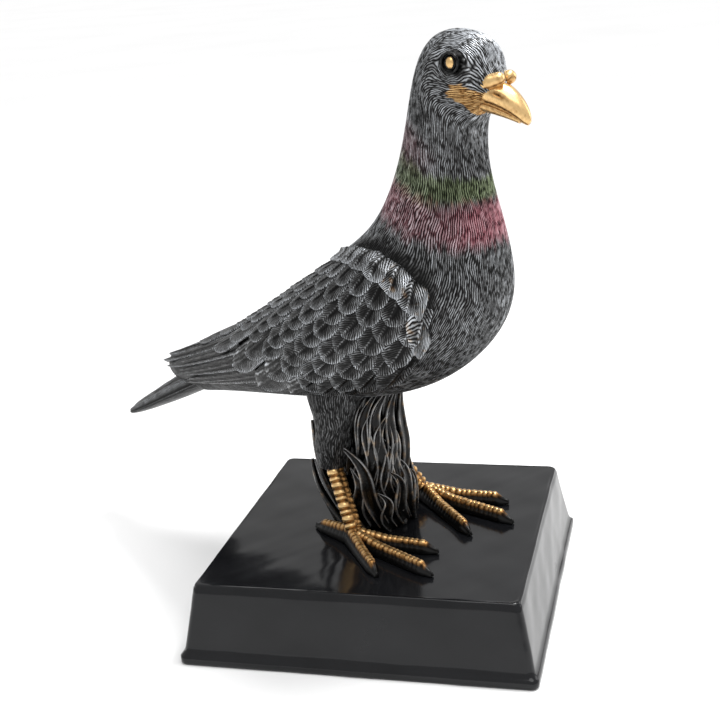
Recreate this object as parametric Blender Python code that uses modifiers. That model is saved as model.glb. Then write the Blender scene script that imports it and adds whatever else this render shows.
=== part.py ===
"""Pigeon statuette: a cast bird with a clump of grass between its legs, on a square plinth.

Metres, +Z up. The origin is the middle of the plinth's underside and the plinth's front faces -Y.
The bird's forms are counted in units, and one unit is a two-hundredth of the bird's height.
In the bird's own frame a point is (forward, left, up), measured from the middle of the plinth's top.
"""
import math

import bmesh
import bpy
import numpy as np
from mathutils import Vector

# Driving sizes
BIRD_HEIGHT = 0.200
BIRD_TURN = math.radians(-26.0)
FOOT_TURN = math.radians(-6.5)
PLINTH_SIDE = 0.126
PLINTH_HEIGHT = 0.0312
PLINTH_SPLAY = 0.0051
PLINTH_ROUNDING = 0.0012
LIP_HEIGHT = 0.0045
LIP_OVERHANG = 0.0015
SEAT_GAP = 0.0003
SKIN_VOXEL = 0.00074
BIRD_TRIANGLES = 9300

# The bird's unit
UNIT = BIRD_HEIGHT / 200

# Stations of the body, from the beak's root over head, neck and breast to the wing tips:
# top forward, top up, under forward, under up, half width
BODY = {
    "beak root": (66.0, 179.3, 58.9, 171.9, 5.6),
    "forehead": (62.4, 188.6, 56.2, 167.9, 9.8),
    "brow": (56.4, 196.2, 53.9, 164.9, 12.5),
    "crown": (38.3, 196.1, 53.6, 159.3, 14.5),
    "nape": (27.8, 176.3, 54.7, 152.5, 14.1),
    "neck": (21.0, 153.2, 57.0, 141.3, 15.5),
    "shoulders": (11.7, 133.5, 61.4, 119.0, 22.2),
    "breast": (-1.5, 120.8, 58.2, 92.8, 29.3),
    "keel": (-18.5, 110.0, 34.5, 69.0, 31.8),
    "loin": (-41.8, 95.7, -0.2, 56.4, 29.5),
    "vent": (-76.4, 75.5, -45.3, 49.4, 22.0),
    "tail root": (-119.7, 56.5, -92.9, 41.9, 11.2),
    "wing tips": (-141.4, 46.8, -116.8, 35.0, 7.0),
}
BODY_END = 11.1

# Edge of the folded wing on the body: degrees from the back's middle line, and the station there
WING_FRONT_DEGREES = (8, 22, 45, 68, 92, 116, 126, 136, 146)
WING_FRONT_STATION = (7.5, 7.1, 6.6, 6.35, 6.35, 6.55, 7.1, 7.85, 8.4)
WING_LOW_STATION = (6.0, 8.3, 9.2, 10.0, 10.6, 11.1)
WING_LOW_DEGREES = (140, 141, 130, 122, 112, 104)
WING_HIGH_DEGREES = 8
WING_RAISE = 2.6
WING_DIP = 0.6
WING_FLAT_DEGREES = 15
WING_FULL_DEGREES = 80
WING_THIN_STATION = 8
WING_THIN_SHARE = 0.55
WING_ROUNDING = 0.2

# Feathers of the wing
COVERT_RANKS = 9
COVERT_PITCH = 8.3
COVERT_WIDTH = 8.8
COVERT_LENGTH = 15.0
LONG_RANKS = ((88.0, 28.0), (103.0, 32.0))
LONG_WIDTH = 10.0
FEATHER_SKEW = 0.18
FLIGHT_FEATHERS = 5
FLIGHT_LENGTH = 66.0
FLIGHT_DEGREES = (24, 98)
FLIGHT_STEP = 3.5
FEATHER_RISE = 2.1
FEATHER_THICKNESS = 1.6
ROOT_SHARE = 0.12
FRONT_ROOT_SHARE = 0.5

# Tail: forward, up, half width, half height
TAIL = ((-86, 53.0, 9.5, 7.5), (-112, 40.5, 10.5, 6.8), (-131, 31.3, 10.5, 5.2), (-146, 24.3, 9.5, 3.4),
        (-153, 21.5, 6.5, 1.8))
TAIL_FEATHERS = 4
TAIL_GROOVE = 0.9

# Head
EYE = (52.2, 11.4, 187.9)
EYE_RADIUS = 3.0
EYE_RING = 3.9
BEAK_UPPER = ((56.8, 177.2, 8.7, 5.0), (61.5, 176.2, 7.0, 5.0), (66.2, 174.2, 5.3, 4.6), (70.5, 171.5, 3.9, 3.5),
              (73.6, 168.5, 2.3, 2.3), (75.0, 166.6, 0.9, 1.0))
BEAK_LOWER = ((57.0, 173.4, 6.2, 3.2), (66.0, 170.2, 4.1, 2.1), (72.0, 167.4, 2.1, 1.2))
BEAK_SLOPE = math.radians(34)
CERE_BACK = (57.6, 6.6, 179.3)
CERE_FRONT = (65.4, 3.2, 181.5)
CERE_RADIUS = (2.3, 3.0, 2.5)

# Legs, for the left side: forward, left, up, radius forward, radius left
FEET_MIDDLE = 1.2
LEG_SPREAD = 24.6
THIGH = ((-14.0, -14.0, 66.0, 17.0, 11.0), (-11.5, -10.5, 56.0, 10.8, 10.0), (-11.4, -8.0, 47.0, 8.6, 8.0),
         (-12.4, -7.0, 37.0, 7.3, 6.8), (-13.2, -6.5, 28.5, 5.4, 5.2))
TARSUS_TOP = (-13.4, -6.5, 29.5)
TARSUS_LOW = (0.6, -0.6, 6.0)
TARSUS_RADIUS = 3.7
TARSUS_RINGS = 10
RING_DEPTH = 0.8
LEFT_KNEE_SHIFT = (-3.5, -3.5)
RIGHT_TOES = {"outer": (25.8, 33.0), "middle": (1.2, 45.8), "inner": (-22.5, 37.5), "hind": (-178.0, 21.5)}
LEFT_TOES = {"outer": (28.0, 36.5), "middle": (4.5, 46.0), "inner": (-20.8, 42.3), "hind": (-178.0, 21.5)}
TOE_RADIUS = 2.7
TOE_WEB = 3.1
TOE_HEIGHT = (7.4, 5.0, 2.4)
TOE_RING_PITCH = 2.3
TOE_RING_DEPTH = 0.35
CLAW_LENGTH = 6.0
FOOT_FORWARD = -0.4

# Grass clump: its core by height (forward, half length, half width), then its leaves as
# root bearing, root height, tip bearing, tip height, stand off at the tip, width
CLUMP_CORE = ((0.0, -5.0, 13.4, 12.4), (20.0, -6.0, 13.2, 13.7), (42.0, -8.5, 14.0, 12.6),
              (62.0, -10.0, 17.0, 12.2))
LEAVES = (
    (-46, 3, -92, 40, 6.0, 6.6), (-74, 2, -86, 28, 1.5, 6.0), (-6, 3, -30, 27, 3.5, 6.4),
    (-32, 1, -49, 18, 2.0, 5.6), (-92, 24, -46, 61, 0.8, 5.6), (-74, 26, -30, 62, 0.8, 5.6),
    (-60, 22, -38, 54, 1.5, 5.6), (-56, 30, -14, 62, 0.8, 5.6), (-46, 18, -20, 51, 2.0, 6.2),
    (-26, 14, -36, 42, 1.0, 5.6), (-28, 26, 2, 62, 0.6, 5.6), (-10, 18, -22, 48, 1.0, 6.0),
    (6, 24, 18, 61, 0.5, 6.0), (-16, 8, -4, 40, 1.2, 5.4), (14, 4, -20, 33, 1.0, 6.4),
    (34, 1, 12, 24, 2.0, 6.4), (-104, 24, -124, 48, 3.0, 7.0), (-110, 2, -132, 26, 3.5, 7.0),
)
LEAF_SWAY = 7.0
# Leaves behind the thighs: forward and left of root and tip, their heights, width
REAR_LEAVES = ((-13.0, -13.0, 0.0, -27.5, -13.5, 27.0, 7.0), (-18.0, -9.0, 8.0, -24.5, -14.5, 45.0, 7.5),
               (-15.0, 14.0, 0.0, -28.5, 16.0, 24.0, 7.0))
LEAF_THICKNESS = 1.9
LEAF_BULGE = 1.6
REAR_LEAF_BOW = 3.2

COLOURS = {
    "pigeon": ((0.055, 0.058, 0.062), 0.42, 0.0),
    "plinth": ((0.012, 0.012, 0.014), 0.22, 0.0),
}


def clear_scene():
    """Remove whatever the file opens with."""
    for item in list(bpy.data.objects):
        bpy.data.objects.remove(item, do_unlink=True)


def natural_spline(values, at):
    """Smooth curve through rows of values at 0, 1, 2 and so on, read at the places given."""
    values = np.asarray(values, float)
    last = len(values) - 1
    matrix = np.eye(last + 1)
    right = np.zeros_like(values)
    for i in range(1, last):
        matrix[i, i - 1:i + 2] = (1, 4, 1)
        right[i] = 6 * (values[i + 1] - 2 * values[i] + values[i - 1])
    bend = np.linalg.solve(matrix, right)
    at = np.atleast_1d(np.asarray(at, float))
    i = np.clip(at.astype(int), 0, last - 1)
    b = (at - i)[:, None]
    a = 1 - b
    return bend[i] * (a**3 - a) / 6 + bend[i + 1] * (b**3 - b) / 6 + values[i] * a + values[i + 1] * b


def body_point(station, degrees):
    """Point of the bare body, by station and by degrees from the back's middle line to the left."""
    station, degrees = np.broadcast_arrays(np.asarray(station, float), np.asarray(degrees, float))
    row = natural_spline(list(BODY.values()), station.ravel()).reshape(station.shape + (5,))
    angle = np.radians(degrees)
    high = (1 + np.cos(angle)) / 2
    forward = row[..., 2] + (row[..., 0] - row[..., 2]) * high
    up = row[..., 3] + (row[..., 1] - row[..., 3]) * high
    return np.stack([forward, row[..., 4] * np.sin(angle), up], axis=-1)


def body_normal(station, degrees):
    """Outward direction of the bare body."""
    small = 0.02
    along = body_point(station + small, degrees) - body_point(station - small, degrees)
    around = body_point(station, degrees + 1) - body_point(station, degrees - 1)
    normal = np.cross(around, along)
    return normal / np.linalg.norm(normal, axis=-1, keepdims=True)


def smooth_step(value):
    value = np.clip(value, 0, 1)
    return value * value * (3 - 2 * value)


def wing_share(station, degrees):
    """0 outside the folded wing and 1 well inside it, with a round shoulder between."""
    turn = np.abs((np.asarray(degrees, float) + 180) % 360 - 180)
    front = np.interp(turn, WING_FRONT_DEGREES, WING_FRONT_STATION)
    low = np.interp(station, WING_LOW_STATION, WING_LOW_DEGREES)
    behind = (station - front) / WING_ROUNDING
    above = (low - turn) / 9.0
    below_top = (turn - WING_HIGH_DEGREES + 10) / 18.0
    return smooth_step(behind) * smooth_step(above) * smooth_step(below_top)


def wing_height(station, degrees):
    """How far the folded wing stands off the body: most at its front edge and its lower edge."""
    turn = np.abs((np.asarray(degrees, float) + 180) % 360 - 180)
    rise = smooth_step((turn - WING_FLAT_DEGREES) / (WING_FULL_DEGREES - WING_FLAT_DEGREES))
    strength = (1 + WING_DIP) * rise - WING_DIP
    fade = 1 - WING_THIN_SHARE * smooth_step((station - WING_THIN_STATION) / (BODY_END - WING_THIN_STATION))
    return WING_RAISE * strength * fade * wing_share(station, degrees)


def skin_point(station, degrees, stand_off=0.0):
    """Point on the body with its folded wings."""
    lift = wing_height(station, degrees) + stand_off
    return body_point(station, degrees) + body_normal(station, degrees) * lift[..., None]


class Shape:
    """Closed solids gathered in one mesh, in the bird's own units."""

    def __init__(self):
        self.mesh = bmesh.new()

    def loft(self, rings):
        """Skin over rings of equal count, with each end closed by a fan."""
        rows = [[self.mesh.verts.new(tuple(p)) for p in ring] for ring in rings]
        count = len(rows[0])
        for low, high in zip(rows, rows[1:]):
            for j in range(count):
                k = (j + 1) % count
                self.mesh.faces.new((low[j], low[k], high[k], high[j]))
        for row, flip in ((rows[0], True), (rows[-1], False)):
            middle = self.mesh.verts.new(sum((v.co for v in row), Vector()) / count)
            for j in range(count):
                pair = (row[j], row[(j + 1) % count])
                self.mesh.faces.new((pair[::-1] if flip else pair) + (middle,))

    def ball(self, middle, size, slope=0.0):
        """Egg-shaped ball whose length dips forward by the slope."""
        made = bmesh.ops.create_uvsphere(self.mesh, u_segments=16, v_segments=10, radius=1.0)
        for v in made["verts"]:
            x, y, z = (c * s for c, s in zip(v.co, size))
            v.co = (middle[0] + x * math.cos(slope) + z * math.sin(slope), middle[1] + y,
                    middle[2] - x * math.sin(slope) + z * math.cos(slope))

    def plate(self, top, under):
        """Thin solid between two grids of points."""
        rows, columns = top.shape[:2]
        upper = [[self.mesh.verts.new(tuple(p)) for p in row] for row in top]
        lower = [[self.mesh.verts.new(tuple(p)) for p in row] for row in under]
        for i in range(rows - 1):
            for j in range(columns - 1):
                self.mesh.faces.new((upper[i][j], upper[i][j + 1], upper[i + 1][j + 1], upper[i + 1][j]))
                self.mesh.faces.new((lower[i + 1][j], lower[i + 1][j + 1], lower[i][j + 1], lower[i][j]))
        rim = ([(0, j) for j in range(columns)] + [(i, columns - 1) for i in range(1, rows)]
               + [(rows - 1, j) for j in range(columns - 2, -1, -1)] + [(i, 0) for i in range(rows - 2, 0, -1)])
        for (a, b), (c, d) in zip(rim, rim[1:] + rim[:1]):
            self.mesh.faces.new((upper[c][d], upper[a][b], lower[a][b], lower[c][d]))


def ring(middle, across, upright, radius_across, radius_up, count=16):
    """Oval ring of points."""
    turns = np.linspace(0, 2 * math.pi, count, endpoint=False)[:, None]
    return (np.asarray(middle, float) + np.cos(turns) * radius_across * np.asarray(across, float)
            + np.sin(turns) * radius_up * np.asarray(upright, float))


def add_body(shape):
    """Head, neck, breast and back, with the folded wings standing off the flanks."""
    stations = np.concatenate([np.linspace(0, 6, 34), np.linspace(6.1, BODY_END, 46)])
    degrees = np.linspace(0, 360, 72, endpoint=False)
    shape.loft([skin_point(np.full_like(degrees, s), degrees) for s in stations])


def wing_lines():
    """Lines along the wing: for each bearing its stations and the distance from the front edge."""
    lines = {}
    for turn in range(WING_HIGH_DEGREES, 147, 2):
        front = float(np.interp(turn, WING_FRONT_DEGREES, WING_FRONT_STATION))
        stations = np.linspace(front, BODY_END, 60)
        points = body_point(stations, np.full_like(stations, turn))
        steps = np.linalg.norm(np.diff(points, axis=0), axis=1)
        lines[turn] = (stations, np.concatenate([[0], np.cumsum(steps)]))
    return lines


WING_LINES = wing_lines()


def wing_station(turn, distance):
    """Station on the wing, by its bearing from the back and its distance behind the front edge."""
    low = int(np.clip(2 * math.floor(turn / 2), WING_HIGH_DEGREES, 144))
    share = np.clip((turn - low) / 2, 0, 1)
    ends = []
    for key in (low, low + 2):
        stations, reach = WING_LINES[key]
        beyond = (distance - reach[-1]) / (reach[-1] - reach[-2]) * (stations[-1] - stations[-2])
        ends.append(stations[-1] + beyond if distance > reach[-1] else np.interp(distance, reach, stations))
    return ends[0] + (ends[1] - ends[0]) * share


def feather(shape, side, turn, tip, length, width, rise, spread=None):
    """One feather on the wing, its round end raised over the next; a spread in degrees sets its width."""
    across = np.linspace(-1, 1, 5)
    along = np.array([0.0, 0.35, 0.68, 0.88, 1.0])
    top = np.zeros((len(along), len(across), 3))
    under = np.zeros_like(top)
    root_rise = FRONT_ROOT_SHARE if tip < 1.5 * COVERT_PITCH else ROOT_SHARE
    length = min(length, tip - 0.5)
    for i, share in enumerate(along):
        place = wing_station(turn, tip - length * (1 - share))
        round_off = math.sqrt(max(0.0, 1 - max(0.0, (share - 0.55) / 0.47) ** 2.2))
        girth = np.linalg.norm(body_point(place, turn + 1) - body_point(place, turn - 1)) / 2
        half = spread / 2 if spread else width / 2 / max(girth, 0.12)
        skew = 0 if spread else FEATHER_SKEW * (share - 0.6) * length / max(girth, 0.12)
        degrees = turn + skew + across * half * round_off
        crown = 1 - (0.75 if spread else 0.35) * across**2 + (0 if spread else 0.3 * across)
        height = rise * (root_rise + (1 - root_rise) * share) * crown
        stations = np.full_like(degrees, place)
        top[i] = skin_point(stations, side * degrees, height)
        under[i] = skin_point(stations, side * degrees, height * 0 - FEATHER_THICKNESS)
    if side < 0:
        top, under = top[:, ::-1], under[:, ::-1]
    shape.plate(top, under)


def rank_of_feathers(shape, side, tip, length, width, rise, shift):
    """A row of feathers across the wing, a given distance behind its front edge."""
    turn = WING_HIGH_DEGREES + 4 + shift * 3
    while True:
        place = wing_station(turn, tip)
        if turn > np.interp(place, WING_LOW_STATION, WING_LOW_DEGREES) - 3 or turn > 142:
            return
        girth = np.linalg.norm(body_point(place, turn + 1) - body_point(place, turn - 1)) / 2
        if place < BODY_END - 0.25:
            feather(shape, side, turn, tip, length, width, rise)
        turn += width * 0.82 / max(girth, 0.12)


def add_wing_feathers(shape, side):
    """Flight feathers first, then longer coverts, then the scalloped ranks up to the front edge."""
    spread = (FLIGHT_DEGREES[1] - FLIGHT_DEGREES[0]) / (FLIGHT_FEATHERS - 1)
    for k in range(FLIGHT_FEATHERS):
        turn = FLIGHT_DEGREES[0] + spread * k
        reach = WING_LINES[2 * round(turn / 2)][1][-1] + 2.0 - FLIGHT_STEP * abs(k - 1)
        feather(shape, side, turn, reach, FLIGHT_LENGTH, 0, FEATHER_RISE, spread)
    for number, (tip, length) in enumerate(reversed(LONG_RANKS)):
        rank_of_feathers(shape, side, tip, length, LONG_WIDTH, FEATHER_RISE, number % 2)
    for number in range(COVERT_RANKS, 0, -1):
        tip = 1.5 + number * COVERT_PITCH
        rank_of_feathers(shape, side, tip, COVERT_LENGTH, COVERT_WIDTH, FEATHER_RISE, number % 2)


def add_tail(shape):
    """Folded tail: an arched blade with its feathers stepped from the middle outwards."""
    stations = natural_spline(TAIL, np.linspace(0, len(TAIL) - 1, 14))
    count = 40
    turns = np.linspace(0, 2 * math.pi, count, endpoint=False)
    ridges = TAIL_GROOVE * np.abs(np.sin(turns * TAIL_FEATHERS)) * (np.sin(turns) > -0.2)
    slope = math.atan2(TAIL[0][1] - TAIL[-1][1], TAIL[0][0] - TAIL[-1][0])
    rings = []
    for forward, up, half_width, half_height in stations:
        rise = np.sin(turns) * half_height * np.where(np.sin(turns) < 0, 0.55, 1.0) + ridges
        rings.append(np.stack([forward - rise * math.sin(slope), np.cos(turns) * half_width,
                               up + rise * math.cos(slope)], axis=1))
    shape.loft(rings)


def add_beak(shape, stations):
    """Half of the beak as ovals along its slope."""
    dip = (math.sin(BEAK_SLOPE), 0, math.cos(BEAK_SLOPE))
    shape.loft([ring((f, 0, u), (0, 1, 0), dip, wide, high) for f, u, wide, high in stations])


def add_cere(shape, side):
    """Long bulge over the beak's root, with a waist in its middle."""
    back = np.array((CERE_BACK[0], side * CERE_BACK[1], CERE_BACK[2]))
    front = np.array((CERE_FRONT[0], side * CERE_FRONT[1], CERE_FRONT[2]))
    along = (front - back) / np.linalg.norm(front - back)
    across = np.cross((0, 0, 1), along)
    upright = np.cross(along, across)
    rings = []
    for share in np.linspace(-0.24, 1.24, 13):
        cap = math.sqrt(max(0.03, 1 - (max(0, -share, share - 1) / 0.25) ** 2))
        radius = cap * np.interp(share, (0, 0.5, 1), CERE_RADIUS)
        rings.append(ring(back + along * share * np.linalg.norm(front - back), across, upright, radius, radius))
    shape.loft(rings)


def add_head_details(shape):
    """Beak, the two bulges over its root, and the ringed eyes."""
    add_beak(shape, BEAK_UPPER)
    add_beak(shape, BEAK_LOWER)
    for side in (1, -1):
        add_cere(shape, side)
        place = (EYE[0], side * EYE[1], EYE[2])
        shape.ball(place, (EYE_RING, 1.6, EYE_RING))
        shape.ball(place, (EYE_RADIUS, 2.3, EYE_RADIUS))


def ringed_radius(distance, pitch, depth):
    """Radius added at a distance along a scaled leg: one low swelling for each scale."""
    return depth * np.abs(np.sin(math.pi * distance / pitch))


def leg_middle(side):
    """Middle of one foot, to the left of the bird's middle plane."""
    return FEET_MIDDLE + side * LEG_SPREAD


def leg_point(side, place, share):
    """Point of a leg; the left leg's knee is set a little back and in, by the share given."""
    forward, out, up = place
    if side > 0:
        forward += LEFT_KNEE_SHIFT[0] * share
        out += LEFT_KNEE_SHIFT[1] * share
    return np.array((forward, leg_middle(side) + side * out, up))


def add_leg(shape, side):
    """Feathered thigh and the scaled tarsus under it."""
    thigh = natural_spline(THIGH, np.linspace(0, len(THIGH) - 1, 16))
    shape.loft([ring(leg_point(side, row[:3], 1), (1, 0, 0), (0, 1, 0), row[3], row[4], 20) for row in thigh])
    top = leg_point(side, TARSUS_TOP, 1)
    low = leg_point(side, TARSUS_LOW, 0.5)
    length = np.linalg.norm(top - low)
    steps = TARSUS_RINGS * 6
    down = (low - top) / length
    front = np.cross(down, (0, 1, 0))
    front /= np.linalg.norm(front)
    across = np.cross(front, down)
    rings = []
    for i in range(steps + 1):
        radius = TARSUS_RADIUS + ringed_radius(length * i / steps, length / TARSUS_RINGS, RING_DEPTH)
        rings.append(ring(top + down * length * i / steps, across, front, radius * 0.92, radius, 14))
    shape.loft(rings)


def foot_point(side, along, out):
    """A point of the foot in the bird's frame, by its distance along and outwards from the foot's line."""
    turn = FOOT_TURN
    left = side * out
    return (FOOT_FORWARD + along * math.cos(turn) - left * math.sin(turn),
            leg_middle(side) + along * math.sin(turn) + left * math.cos(turn))


def add_toe(shape, side, bearing, reach):
    """Scaled toe on a web that reaches the plinth, ending in a claw."""
    angle = math.radians(bearing)
    steps = int(reach / TOE_RING_PITCH * 4)
    root, middle, tip = TOE_HEIGHT
    rings = []
    for i in range(steps + 1):
        run = reach * i / steps
        forward, left = foot_point(side, run * math.cos(angle), run * math.sin(angle))
        claw = smooth_step((run - (reach - CLAW_LENGTH)) / CLAW_LENGTH)
        thin = (1 - 0.25 * run / reach) * (1 - 0.6 * claw)
        swelling = float(ringed_radius(run, TOE_RING_PITCH, TOE_RING_DEPTH))
        half = TOE_RADIUS * thin + swelling * (1 - min(1, 4 * claw))
        web = TOE_WEB * thin
        top = root + (middle - root) * min(1, run / 16) + (tip - middle) * claw + half * 0.2
        heading = angle * side + FOOT_TURN
        across = np.array((-math.sin(heading), math.cos(heading), 0))
        rings.append([np.array((forward, left, 0)) + across * x + np.array((0, 0, z))
                      for x, z in ((-web, -2), (-web, top * 0.3), (-half, top * 0.62), (-half * 0.72, top * 0.88),
                                   (0, top), (half * 0.72, top * 0.88), (half, top * 0.62), (web, top * 0.3),
                                   (web, -2))])
    shape.loft(rings)


def core_size(up):
    """Middle, half length and half width of the clump's core at a height."""
    table = np.array(CLUMP_CORE)
    return [np.interp(up, table[:, 0], table[:, k]) for k in (1, 2, 3)]


def core_point(bearing, up, stand_off):
    """Point round the clump's core, by its bearing from straight ahead to the left."""
    middle, long, wide = core_size(up)
    angle = math.radians(bearing)
    return np.array((middle + (long + stand_off) * math.cos(angle),
                     FEET_MIDDLE + (wide + stand_off) * math.sin(angle), up))


def leaf_path(leaf, steps):
    """Middle line of a leaf: it leaves the core, bulges and turns out at its tip."""
    root_bearing, root_up, tip_bearing, tip_up, stand_off, _ = leaf
    path = []
    for share in np.linspace(0, 1, steps):
        sway = LEAF_SWAY * math.sin(2 * math.pi * share) * (1 if tip_bearing > root_bearing else -1)
        bearing = root_bearing + (tip_bearing - root_bearing) * share**1.6 + sway
        up = root_up + (tip_up - root_up) * share
        lift = 0.4 + LEAF_BULGE * math.sin(math.pi * share) + stand_off * share**3
        path.append(core_point(bearing, up, lift))
    return np.array(path)


def rear_leaf_path(root, tip, steps):
    """Middle line of a leaf behind a thigh: it rises, bulges back and turns in at its tip."""
    shares = np.linspace(0, 1, steps)[:, None]
    bow = np.array((-REAR_LEAF_BOW, 0, 0)) * np.sin(math.pi * shares)
    return np.array(root) + (np.array(tip) - root) * shares + bow


def add_leaf(shape, path, leaf_width):
    """Pointed leaf along a line of points, facing away from the clump's middle."""
    steps = len(path)
    along = np.gradient(path, axis=0)
    along /= np.linalg.norm(along, axis=1)[:, None]
    rings = []
    for i, share in enumerate(np.linspace(0, 1, steps)):
        middle = core_size(path[i][2])[0]
        outward = path[i] - (middle, FEET_MIDDLE, path[i][2])
        across = np.cross(along[i], outward)
        across /= np.linalg.norm(across)
        outward = np.cross(across, along[i])
        swell = 0.25 + 0.75 * math.sin(math.pi * min(1, 0.25 + 0.6 * share))
        width = leaf_width / 2 * swell * (1 - share**4 * 0.93)
        thick = LEAF_THICKNESS * (1 - 0.6 * share)
        rings.append(ring(path[i], across, outward, width, thick, 8))
    shape.loft(rings)


def add_clump(shape):
    """Grass between the legs, from the plinth up to the belly, and the same leaves again behind."""
    rows = np.linspace(-2, 62, 14)
    shape.loft([[core_point(bearing, up, 0.5 * math.cos(math.radians(bearing * 9)))
                 for bearing in range(0, 360, 10)] for up in rows])
    for leaf in LEAVES:
        root_bearing, root_up, tip_bearing, tip_up, _, width = leaf
        turned = (root_bearing + 180, root_up, tip_bearing + 180, tip_up, 0.6, width)
        add_leaf(shape, leaf_path(leaf, 12), width)
        add_leaf(shape, leaf_path(turned, 12), width)
    for leaf in REAR_LEAVES:
        root, tip = (leaf[0], leaf[1], leaf[2]), (leaf[3], leaf[4], leaf[5])
        add_leaf(shape, rear_leaf_path(root, tip, 12), leaf[6])


def largest_shell(mesh):
    """Keep only the outermost connected surface."""
    mesh.faces.ensure_lookup_table()
    seen = set()
    shells = []
    for start in mesh.faces:
        if start.index in seen:
            continue
        shell = []
        queue = [start]
        seen.add(start.index)
        while queue:
            face = queue.pop()
            shell.append(face)
            for edge in face.edges:
                for other in edge.link_faces:
                    if other.index not in seen:
                        seen.add(other.index)
                        queue.append(other)
        shells.append(shell)
    shells.sort(key=len)
    for shell in shells[:-1]:
        bmesh.ops.delete(mesh, geom=shell, context="FACES")


def cut_flat(mesh, height):
    """Cut the feet and the clump off flat at the height where they stand on the plinth."""
    everything = mesh.verts[:] + mesh.edges[:] + mesh.faces[:]
    cut = bmesh.ops.bisect_plane(mesh, geom=everything, dist=1e-6, plane_co=(0, 0, height), plane_no=(0, 0, -1),
                                 clear_outer=True)
    rim = [item for item in cut["geom_cut"] if isinstance(item, bmesh.types.BMEdge)]
    bmesh.ops.holes_fill(mesh, edges=rim, sides=0)
    bmesh.ops.triangulate(mesh, faces=mesh.faces[:])


def to_world(points):
    """From the bird's own units to metres in the statuette's frame."""
    turn = np.array([[math.cos(BIRD_TURN), -math.sin(BIRD_TURN)], [math.sin(BIRD_TURN), math.cos(BIRD_TURN)]])
    world = np.empty_like(points)
    world[:, :2] = points[:, :2] @ turn.T * UNIT
    world[:, 2] = points[:, 2] * UNIT + PLINTH_HEIGHT
    return np.round(world, 6)


def apply_modifiers(item):
    """Turn an object's evaluated form into its mesh."""
    depsgraph = bpy.context.evaluated_depsgraph_get()
    made = bpy.data.meshes.new_from_object(item.evaluated_get(depsgraph))
    item.modifiers.clear()
    item.data = made


def make_material(name):
    """Principled finish of one piece."""
    colour, roughness, metallic = COLOURS[name]
    material = bpy.data.materials.new(name)
    material.use_nodes = True
    shader = material.node_tree.nodes["Principled BSDF"]
    shader.inputs["Base Color"].default_value = (*colour, 1)
    shader.inputs["Roughness"].default_value = roughness
    shader.inputs["Metallic"].default_value = metallic
    return material


def make_pigeon(collection):
    """The bird, its legs and the clump as one casting."""
    shape = Shape()
    add_body(shape)
    for side in (1, -1):
        add_wing_feathers(shape, side)
        add_leg(shape, side)
        for bearing, reach in (LEFT_TOES if side > 0 else RIGHT_TOES).values():
            add_toe(shape, side, bearing, reach)
    add_tail(shape)
    add_head_details(shape)
    add_clump(shape)
    data = bpy.data.meshes.new("pigeon")
    shape.mesh.to_mesh(data)
    shape.mesh.free()
    points = np.empty(len(data.vertices) * 3, dtype=np.float32)
    data.vertices.foreach_get("co", points)
    data.vertices.foreach_set("co", to_world(points.reshape(-1, 3).astype(float)).ravel())
    item = bpy.data.objects.new("pigeon", data)
    collection.objects.link(item)
    skin = item.modifiers.new("Skin", "REMESH")
    skin.mode = "VOXEL"
    skin.voxel_size = SKIN_VOXEL
    apply_modifiers(item)
    thin = item.modifiers.new("Thin", "DECIMATE")
    thin.ratio = min(1.0, BIRD_TRIANGLES / (2 * len(item.data.polygons)))
    apply_modifiers(item)
    finished = bmesh.new()
    finished.from_mesh(item.data)
    largest_shell(finished)
    cut_flat(finished, PLINTH_HEIGHT + SEAT_GAP)
    finished.to_mesh(item.data)
    finished.free()
    item.data.materials.clear()
    item.data.materials.append(make_material("pigeon"))
    item.data.shade_smooth()
    item.data.set_sharp_from_angle(angle=math.radians(50))
    return item


def make_plinth(collection):
    """Square block with leaning sides on a low lip."""
    lip_side = PLINTH_SIDE + 2 * (PLINTH_SPLAY + LIP_OVERHANG)
    bpy.ops.mesh.primitive_cube_add(size=1)
    lip = bpy.context.object
    for v in lip.data.vertices:
        v.co = (v.co.x * lip_side, v.co.y * lip_side, (v.co.z + 0.5) * LIP_HEIGHT)
    bpy.ops.mesh.primitive_cube_add(size=1)
    block = bpy.context.object
    block.name = "plinth"
    for v in block.data.vertices:
        share = (PLINTH_HEIGHT - LIP_HEIGHT / 2) / (PLINTH_HEIGHT - LIP_HEIGHT)
        side = PLINTH_SIDE if v.co.z > 0 else PLINTH_SIDE + 2 * PLINTH_SPLAY * share
        height = PLINTH_HEIGHT if v.co.z > 0 else LIP_HEIGHT / 2
        v.co = (v.co.x * side, v.co.y * side, height)
    join = block.modifiers.new("Lip", "BOOLEAN")
    join.operation = "UNION"
    join.object = lip
    apply_modifiers(block)
    bpy.data.objects.remove(lip, do_unlink=True)
    rounding = block.modifiers.new("Rounding", "BEVEL")
    rounding.width = PLINTH_ROUNDING
    rounding.segments = 2
    rounding.limit_method = "ANGLE"
    for other in list(block.users_collection):
        other.objects.unlink(block)
    collection.objects.link(block)
    block.data.materials.clear()
    block.data.materials.append(make_material("plinth"))
    block.data.shade_smooth()
    block.data.set_sharp_from_angle(angle=math.radians(30))
    return block


def main():
    clear_scene()
    collection = bpy.data.collections.new("pigeon statuette")
    bpy.context.scene.collection.children.link(collection)
    make_plinth(collection)
    make_pigeon(collection)


main()
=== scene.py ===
"""Looks of the pigeon statuette: carved feathers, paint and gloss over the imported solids.

The forms follow the same stations and sizes as the solids. In the bird's own frame a point is
(forward, left, up) in millimetres, measured from the middle of the plinth's top. A station is a place
along the body, from 0 at the beak to BODY_END at the rump. A bearing is in degrees from the back's
middle line to the left.
"""
import math

import bpy
import numpy as np
from mathutils import Matrix, Vector


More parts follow.
